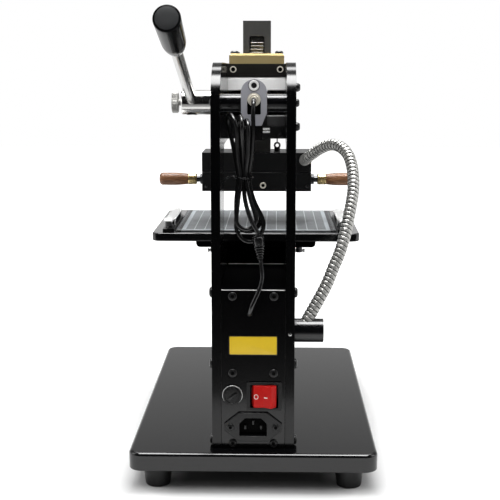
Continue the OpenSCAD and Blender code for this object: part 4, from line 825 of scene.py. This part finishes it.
def make_screws():
    heads = []
    # Depth, height, diameter and head of the bolts in each side plate; one is lower on the hose side
    bolts = [(156.5, 176, 9, 2.6), (156.5, 111.8, 9, 2.6), (156.5, 41.5, 9, 2.6), (6.1, 354.3, 9, 6.8),
             (6.1, 312.5, 9, 6.8), (127, 339.5, 7, 3.4), (-55, 189, 9, 2.6), (36, 189, 9, 2.6)]
    for side in (-1, 1):
        for y, z, d, h in bolts:
            low = 3.3 if side < 0 and z == 354.3 else 0.0
            heads.append(button_screw((side * OUT_X, y, z - low), (side, 0, 0), d, h, d * 0.4))
    piece("frame_screws", join(*heads), "black_metal", replaces="frame_bolts")

    cover = [button_screw((x, BACK_Y, z), OUTWARD, 7.6, 1.6, 3.2) for x, z in COVER_SCREWS]
    piece("cover_screws", join(*cover), "black_metal")

    # Black fills sunk in the screws' sockets paint the shade in those hollows
    def dot(at, *profile):
        return lathe(at, OUTWARD, profile, 24)

    socket_shades = [dot((x, BACK_Y, z), (0.4, 2.0), (1.1, 1.9), (1.2, 1.5), (0.9, 0.02)) for x, z in COVER_SCREWS]
    socket_shades += [dot((x, INLET_FACE, INLET_Z), (0.3, 1.9), (0.9, 1.8), (1.0, 1.4), (0.7, 0.02))
             for x in INLET_SCREWS]
    socket_shades += [dot((x, BLOCK_Y, BLOCK_SCREW_Z), (0.3, 2.2), (1.24, 2.1), (1.25, 1.6), (0.9, 0.02))
             for x in BLOCK_SCREWS]
    piece("screw_sockets", join(*socket_shades), "socket_dark")
    piece("heater_screw_socket", dot(HEATER_SCREW, (0.3, 1.7), (1.62, 1.6), (1.63, 1.2), (1.2, 0.02)),
          "socket_dark", "die")
    inlet = [button_screw((x, INLET_FACE, INLET_Z), OUTWARD, 6.6, 1.3, 2.8) for x in INLET_SCREWS]
    piece("inlet_screws", join(*inlet), "black_metal")
    piece("plate_set_screw", cap_screw((-32.2, BACK_Y - 0.4, 141), OUTWARD, 3.4, 0.8, 1.6), "bright_steel")
    guide = [button_screw((x, y, 384), (0, 0, 1), 8.2, 2.6, 3.6) for y in (4.0, -36.0) for x in (-22, 22)]
    piece("guide_screws", join(*guide), "dark_steel")
    block = [cap_screw((x, BLOCK_Y, BLOCK_SCREW_Z), OUTWARD, 6.4, 1.2, 3.2) for x in BLOCK_SCREWS]
    piece("block_screws", join(*block), "gland_cream")
    piece("lower_screw", cap_screw((-23.1, BLOCK_Y, 304.2), OUTWARD, 4.8, 1.0, 2.4), "dark_steel")
    piece("heater_screw", cap_screw(HEATER_SCREW, OUTWARD, 6.4, 1.6, 3.0), "gland_cream", "die")
    die = [cap_screw((x, DIE_Y, 253.8), OUTWARD, 3.6, 0.5, 1.8) for x in (-50.5, 50.5)]
    piece("die_screws", join(*die), "dark_steel", "die")

    p = [(0, 4.6), (0.9, 4.6), (1.3, 4.4), (1.45, 3.9), (1.4, 3.2), (1.15, 2.6), (0.6, 2.4), (0.2, 2.4)]
    piece("bracket_ring", lathe(BRACKET_EYE, OUTWARD, p, 40), "ring_white")
    p = [(-0.4, 5.1), (0.12, 5.1), (0.2, 4.95), (0.2, 4.5), (0.1, 4.4)]
    seat = lathe(BRACKET_EYE, OUTWARD, p, 40)
    p = [(0, 2.5), (0.5, 2.45), (0.7, 2.1), (0.75, 1.4), (0.5, 1.2), (0.3, 0.02)]
    piece("bracket_rivet", join(seat, lathe(BRACKET_EYE, OUTWARD, p, 32)), "dark_steel")
    p = [(0, 3.0), (0, 5.8), (3.6, 5.8), (4.1, 5.6), (4.35, 5.1), (4.35, 4.7), (4.6, 4.6), (6.0, 4.5),
         (6.6, 4.3), (6.8, 3.9), (6.6, 3.6), (5.4, 3.5), (5.4, 3.1), (7.6, 2.95), (9.3, 2.6), (9.7, 2.3),
         (9.75, 1.95), (8.6, 1.9)]
    piece("gland_turned", lathe((0, 136.41, GLAND_EXIT.z), OUTWARD, p, 44), "gland_cream",
          replaces="cord_gland")
    # A black sheet on the floor of the bracket's slot paints the shade in that recess
    shade_sheet = slab(rounded_outline(11.8, 12.2, 0.8, 3), 0.02, 0.5, 0.1, on_back(0, 335.9, 136.4))
    piece("slot_liner", shade_sheet, "socket_dark")


make_screws()


# Rear cover fittings

def make_cover_fittings():
    at_sign, at_fuse = on_back(0, SIGN_Z, BACK_Y), (FUSE_X, BACK_Y, FUSE_Z)
    piece("yellow_sign", slab(rounded_outline(41.2, 15.9, 0.9, 4), 0.0, 0.7, 0.2, at_sign), "yellow_plate")
    rim = slab(rounded_outline(42.6, 17.3, 1.2, 4), 0.0, 0.25, 0.08, at_sign)
    piece("yellow_sign_edge", rim, "dark_edge")

    # The inlet's pins and a sheet on the floor of its cavity are black: painted shade in the recess; the pins'
    # tips keep their bright metal
    shaded_pins = [slab(rounded_outline(1.8, 4.0, 0.35, 3), -13.5, -3.2, 0.6, on_back(x, INLET_Z + z, BACK_Y))
            for x, z in ((-7, -1.2), (7, -1.2), (0, 3.2))]
    piece("inlet_pins", join(*shaded_pins), "socket_dark")
    outline = [(-11.6, -7.4), (11.6, -7.4), (11.6, 4.4), (8.4, 7.4), (-8.4, 7.4), (-11.6, 4.4)]
    shade_sheet = slab(outline, -3.7, -3.4, 0.1, on_back(0, INLET_Z, BACK_Y))
    piece("inlet_liner", shade_sheet, "socket_dark")
    tips = [slab(rounded_outline(1.3, 1.3, 0.4, 3), -3.25, -3.0, 0.1, on_back(x, z, BACK_Y))
            for x, z in ((-7, 56.0), (7, 56.0), (0, 58.0))]
    piece("inlet_pin_tips", join(*tips), "bright_steel")

    p = [(1.82, 8.0), (1.9, 8.25), (4.6, 8.25), (5.3, 8.0), (5.75, 7.4), (5.8, 6.6), (5.2, 6.3), (4.9, 6.1),
         (4.9, 0.02)]
    cap = lathe(at_fuse, OUTWARD, p, 48)
    c, s = cos(radians(40)), sin(radians(40))
    bar_x, bar_z = 4.6, 1.1
    ends = ((-bar_x, -bar_z), (bar_x, -bar_z), (bar_x, bar_z), (-bar_x, bar_z))
    corners = [(a * c - b * s, a * s + b * c) for a, b in ends]
    bar = slab(corners, 4.4, 5.6, 0.25, on_back(FUSE_X, FUSE_Z, BACK_Y))
    piece("fuse_cap_turned", join(cap, bar), "black_plastic", "fuse", replaces="fuse_cap")
    # A bright ring round the cap's rim is a painted highlight
    ring = lathe(at_fuse, OUTWARD, [(1.4, 8.9), (1.75, 8.95), (2.0, 8.8), (2.0, 8.55), (1.5, 8.5)], 48)
    piece("fuse_ring", ring, "clamp_bright")


make_cover_fittings()


# Rocker, lower block, shelf, lamp and window

def make_rocker():
    tilt, slope = radians(-12), atan2(1.4, 6.6)  # of the rocker at rest, and of each half of its face
    x0, y0, z0 = -9.8, 165, 85

    def place(a, b, level):
        return (x0 + a * cos(tilt) - b * sin(tilt), y0 + a * sin(tilt) + b * cos(tilt), z0 + level)

    outline = [(-10.5, -3), (10.5, -3), (11.1, 1.6), (10.8, 2.3), (7.9, 6.6), (7.2, 6.8), (0.6, 5.4),
               (-0.6, 5.4), (-7.2, 6.8), (-7.9, 6.6), (-10.8, 2.3), (-11.1, 1.6)]
    piece("rocker_moulded", slab(outline, -10, 10, 0.7, place, 3), "rocker_plastic", "rocker",
          replaces="switch_rocker", smooth=25)

    def on_face(side, a, b, level):
        return place(side * (4.2 + a * cos(slope)) - side * level * sin(slope),
                     6.17 + a * sin(slope) + level * cos(slope), b)

    circle = []
    for k in range(33):
        t = 2 * pi * k / 32
        circle.append(on_face(1, 1.7 + 1.75 * cos(t), 2.0 * sin(t), 0.02))
    dash = slab(rounded_outline(3.2, 0.9, 0.25, 3), -0.1, 0.12, 0.04,
                lambda a, b, level: on_face(-1, a - 1.6, b - 0.6, level))
    piece("rocker_marks", join(sweep(circle, 0.25, 8), dash), "mark_white", "rocker")


def make_block_fittings():
    panel = slab(rounded_outline(17.4, 9.7, 0.3, 2), 0.0, 0.5, 0.15, on_back(-19.1, 318.9, BLOCK_Y))
    seam = slab(rounded_outline(13.0, 0.7, 0.2, 2), 0.0, 0.35, 0.1, on_back(-21.2, 313.2, BLOCK_Y))
    piece("block_panel", join(panel, seam), "panel_dark")
    line = slab(rounded_outline(17.6, 0.8, 0.25, 2), 0.1, 0.75, 0.15, on_back(-19.1, 323.5, BLOCK_Y))
    piece("block_line", line, "clamp_bright")
    bars = [slab(rounded_outline(7.2, 1.9, 0.4, 3), 0.0, 1.0, 0.3, on_back(-9.6, z, BLOCK_Y))
            for z in (310.6, 307.6)]
    piece("block_bars", join(*bars), "clamp_bright")

    # Bright rods along the rear cover's top edge and the shelf's front edge are painted highlights of those
    # edges
    edge = [(-27.4 + 54.8 * k / 12, 166.0, 179.75) for k in range(13)]
    rail = [(-27.3 + 54.6 * k / 12, 41.35, 180.1) for k in range(13)]
    piece("shelf_lines", join(sweep(edge, 0.4, 8), sweep(rail, 0.55, 8)), "clamp_bright")
    p = [(-1.9, 3.9), (-0.7, 3.9), (0.1, 3.5), (0.6, 2.6), (0.9, 1.4), (1.0, 0.02)]
    piece("lamp_lens", lathe((0, 125, 311.45), (0, -1, -1), p, 32), "lens_glass")
    glass = slab(rounded_outline(37.4, 22.4, 1.2, 4), 0.05, 0.6, 0.15,
                 lambda a, b, level: (a, -85 - level, 128 + b))
    piece("window_glass", glass, "window_dark")


make_rocker()
make_block_fittings()


# Side clamps and locking screws of the table

def strip_level(y):
    """Top of a clamp's lever at a place along it."""
    if y < 10:
        return 223.5
    if y < 30:
        return 223.5 + 0.012 * (y - 10)
    if y < 44:
        t = (y - 30) / 14
        return 223.74 + 2.36 * t * t * (3 - 2 * t)
    return 226.1 - (1.3 * ((y - 51) / 4) ** 2 if y > 51 else 0.0)


def strip_half(y):
    """Half its width there."""
    if y < -45:
        return sqrt(max(0.05, 25.0 - (y + 45) ** 2))
    return 5.0 if y < 50 else 5.0 - 0.9 * ((y - 50) / 5) ** 2


def make_clamps():
    ways = [-49.95, -49.6, -49, -48, -46.5, -45] + [-42 + 6 * k for k in range(9)]
    ways += [9.0, 9.8, 10.6, 12, 16, 20, 25, 30] + [31 + k for k in range(20)]
    ways += [51.5 + 0.5 * k for k in range(8)]
    shares = [-1, -0.97, -0.9, -0.8, -0.6, -0.3, 0, 0.3, 0.6, 0.8, 0.9, 0.97, 1]
    for side, name in SIDES:
        x0 = side * CLAMP_X
        verts = []
        for y in ways:
            half, top = strip_half(y), strip_level(y)
            lip = 0.5 + (0.9 * min(1.0, (y - 32) / 12) if y > 32 else 0.0)
            upper = [(x0 + half * u, y, top - lip * abs(u) ** 7) for u in shares]
            lower = [(x0 + (half - 0.5) * u, y, top - 1.2 - lip * 0.6 * abs(u) ** 7)
                     for u in reversed(shares)]
            verts += upper + lower
        strip = (verts, wall(len(ways), 2 * len(shares)))
        cheeks = []
        for edge in (-4.9, 3.7):
            y, z, r = 32, 219.5, 2.6
            outline = [(y - r, 223.0), (y - r, z)]
            for k in range(1, 10):
                outline.append((y - r * cos(pi * k / 10), z - r * sin(pi * k / 10)))
            outline += [(y + r, z), (y + r, 223.0)]
            cheeks.append(slab(outline, edge, edge + 1.2, 0.25,
                               lambda a, b, level, x0=x0: (x0 + level, a, b)))
        piece("clamp_strip_" + name, join(strip, *cheeks), "clamp_bright", "clamp_" + name,
              replaces="clamp_lever_" + name, smooth=40)
        p = [(0, 0.02), (0, 2.9), (0.35, 3.35), (0.8, 3.5), (5.4, 3.5), (5.9, 3.3), (6.2, 3.0), (6.2, 0.02)]
        roller = lathe((x0, 50, 218.7), (0, 0, 1), p, 32)
        pad = slab(rounded_outline(8, 15, 1.4, 4), 0.0, 5.4, 0.6,
                   lambda a, b, level, x0=x0: (x0 + a, -37.5 + b, 216.8 + level))
        piece("clamp_roller_" + name, join(roller, pad), "roller_grey", "clamp_" + name)


make_clamps()


def make_locks():
    """Screw under the table's slide with a sliding bar through its head."""
    head = [(-0.4, 2.3), (-0.2, 4.3), (0.2, 4.6), (1.4, 4.6), (1.8, 4.3), (2.0, 3.2), (4.6, 3.0), (5.0, 3.3),
            (8.5, 3.3), (8.9, 3.0), (9.0, 2.2), (9.0, 0.02)]
    stem = [(-5.6, 0.02), (-5.6, 2.2), (-5.3, 2.5), (-0.3, 2.5)]
    half = [(4.2, 1.35), (4.3, 1.7), (4.6, 2.0), (5.6, 2.0), (5.9, 1.7), (5.9, 0.02)]
    bar = [(-way, r) for way, r in reversed(half)] + half
    for side, name in SIDES:
        o = Vector((side * LOCK_X, 25.0, 198.0))
        screw = join(lathe(o, (0, 0, -1), head, 28), lathe(o, (0, 0, -1), stem, 20))
        piece("lock_head_" + name, screw, "dark_steel", "lock_" + name, replaces="table_lock_" + name)
        piece("lock_bar_" + name, lathe(o - Vector((0, 0, 7.2)), (1, 0, 0), bar, 20), "ring_white",
              "lock_" + name)


make_locks()


# Stage: floor, world and lamps, in metres

def make_floor():
    """Pale floor that shows white to the camera away from the part, with a painted shadow under and round its
    base: its glow fades out near the base and its colour is painted dark under it.
    """
    front, side, rear = -4.0, 4.0, 0.42
    mesh = bpy.data.meshes.new("floor")
    corners = [(-side, front, 0), (side, front, 0), (side, rear, 0), (-side, rear, 0)]
    mesh.from_pydata(corners, [], [(0, 1, 2, 3)])
    floor = add_object("floor", mesh)
    t = Tree("floor_white")
    x, y, _ = t.axes()

    def beyond(half_x, half_y):
        """How far a point lies outside a rectangle round the origin."""
        out = [t.math("MAXIMUM", t.math("SUBTRACT", t.math("ABSOLUTE", c), half), 0.0)
               for c, half in ((x, half_x), (y, half_y))]
        return t.math("SQRT", t.math("ADD", *[t.math("MULTIPLY", c, c) for c in out]))

    # clear and under measure how far a point lies outside the base's footprint; they shape the painted shadow
    away, clear, under = beyond(0.0, 0.0), beyond(0.108, 0.180), beyond(0.060, 0.150)
    pale = t.mix(t.spread(t.noise(6.0), 0.0, 1.0), (0.78, 0.78, 0.78), (0.80, 0.80, 0.80))
    seen = t.nodes.new("ShaderNodeLightPath").outputs["Is Camera Ray"]
    shown_white = t.math("MULTIPLY", seen, t.spread(away, 0.0, 0.45, 0.28, 0.85))
    glow = t.math("ADD", t.spread(away, 0.42, 0.60, 0.28, 0.85), shown_white)
    # Painted shadow: the colour goes dark grey under the base, and the glow fades to nothing within 26 mm of it
    t.set(base_color=t.mix(t.spread(under, 0.0, 1.0, 0.0, 0.045), (0.15, 0.15, 0.15), pale), roughness=0.9,
          specular_ior_level=0.0,
          emission_strength=t.math("MULTIPLY", glow, t.spread(clear, 0.0, 1.0, 0.0, 0.026)))
    t.shader.inputs["Emission Color"].default_value = (1.0, 1.0, 1.0, 1.0)
    mesh.materials.append(t.material)


def make_world():
    """White to the camera and plain for soft light; gloss mirrors a white front, a dark rear and two panels."""
    world = bpy.data.worlds.new("studio")
    SCENE.world = world
    world.use_nodes = True
    world.node_tree.nodes.clear()
    t = Nodes(world.node_tree, "Generated")
    path = t.nodes.new("ShaderNodeLightPath").outputs
    calc = t.math

    def ramp(value, start, end, low, high):
        return t.spread(value, low, high, start, end, "SMOOTHSTEP")

    def background(strength):
        node = t.nodes.new("ShaderNodeBackground")
        node.inputs["Color"].default_value = (1.0, 1.0, 1.0, 1.0)
        t.put(node.inputs["Strength"], strength)
        return node.outputs[0]

    across, along, up = t.axes()
    aside = calc("ABSOLUTE", across)
    ahead = ramp(along, -0.25, 0.45, 1.0, 0.0)
    front = calc("MULTIPLY", ahead, ramp(up, 0.05, 0.42, 1.0, 0.3))
    behind = calc("ADD", ramp(up, -0.36, -0.25, 0.52, 0.003), ramp(up, 0.05, 0.4, 0.0, 0.015))
    rear = calc("MULTIPLY", calc("SUBTRACT", 1.0, ahead), behind)
    over = calc("MULTIPLY", ramp(along, 0.20, 0.34, 24.0, 0.0), ramp(along, -0.24, -0.12, 0.0, 1.0))
    over = calc("MULTIPLY", over, ramp(up, 0.80, 0.92, 0.0, 1.0))
    fore = calc("MULTIPLY", ramp(along, -0.54, -0.44, 9.0, 0.0), ramp(along, -0.72, -0.60, 0.0, 1.0))
    fore = calc("MULTIPLY", fore, ramp(up, 0.55, 0.70, 0.0, 1.0))
    panels = calc("MULTIPLY", calc("ADD", over, fore), ramp(aside, 0.22, 0.42, 1.0, 0.0))
    mirrored = calc("ADD", calc("ADD", front, rear), calc("MULTIPLY", panels, path["Is Glossy Ray"]))
    seen = calc("MAXIMUM", path["Is Camera Ray"], path["Is Transmission Ray"])
    mix = t.nodes.new("ShaderNodeMixShader")
    t.put(mix.inputs[0], calc("MAXIMUM", seen, path["Is Glossy Ray"]))
    t.put(mix.inputs[1], background(0.40))
    t.put(mix.inputs[2], background(calc("MAXIMUM", mirrored, seen)))
    t.put(t.nodes.new("ShaderNodeOutputWorld").inputs[0], mix.outputs[0])


def make_lamps():
    def lamp(name, kind, at, aim, power, mirrored=False):
        data = bpy.data.lights.new(name, kind)
        data.energy = power
        add_aimed(name, data, at, Vector(aim) - Vector(at)).visible_glossy = mirrored
        return data

    middle = (0.0, 0.0, 0.25)
    for name, at, aim, wide, high, power, mirrored in (
            ("overhead", (0.0, 0.12, 1.75), (0.0, 0.05, 0.2), 1.3, 0.8, 16.0, False),
            ("rear_soft", (0.0, 1.0, 1.45), (0.0, 0.1, 0.3), 1.5, 0.7, 11.0, False),
            ("left_soft", (1.5, 0.2, 0.9), middle, 0.9, 1.1, 7.0, True),
            ("right_soft", (-1.5, 0.2, 0.9), middle, 0.9, 1.1, 7.0, True)):
        data = lamp(name, "AREA", at, aim, power, mirrored)
        data.shape, data.size, data.size_y = "RECTANGLE", wide, high
    data = lamp("head_fill", "SPOT", (0.0, 1.3, 0.72), (0.0, 0.06, 0.358), 11.0)
    data.spot_size, data.spot_blend, data.shadow_soft_size = radians(11), 0.8, 0.08


make_floor()
make_world()
make_lamps()
SCENE.view_settings.view_transform = "Standard"
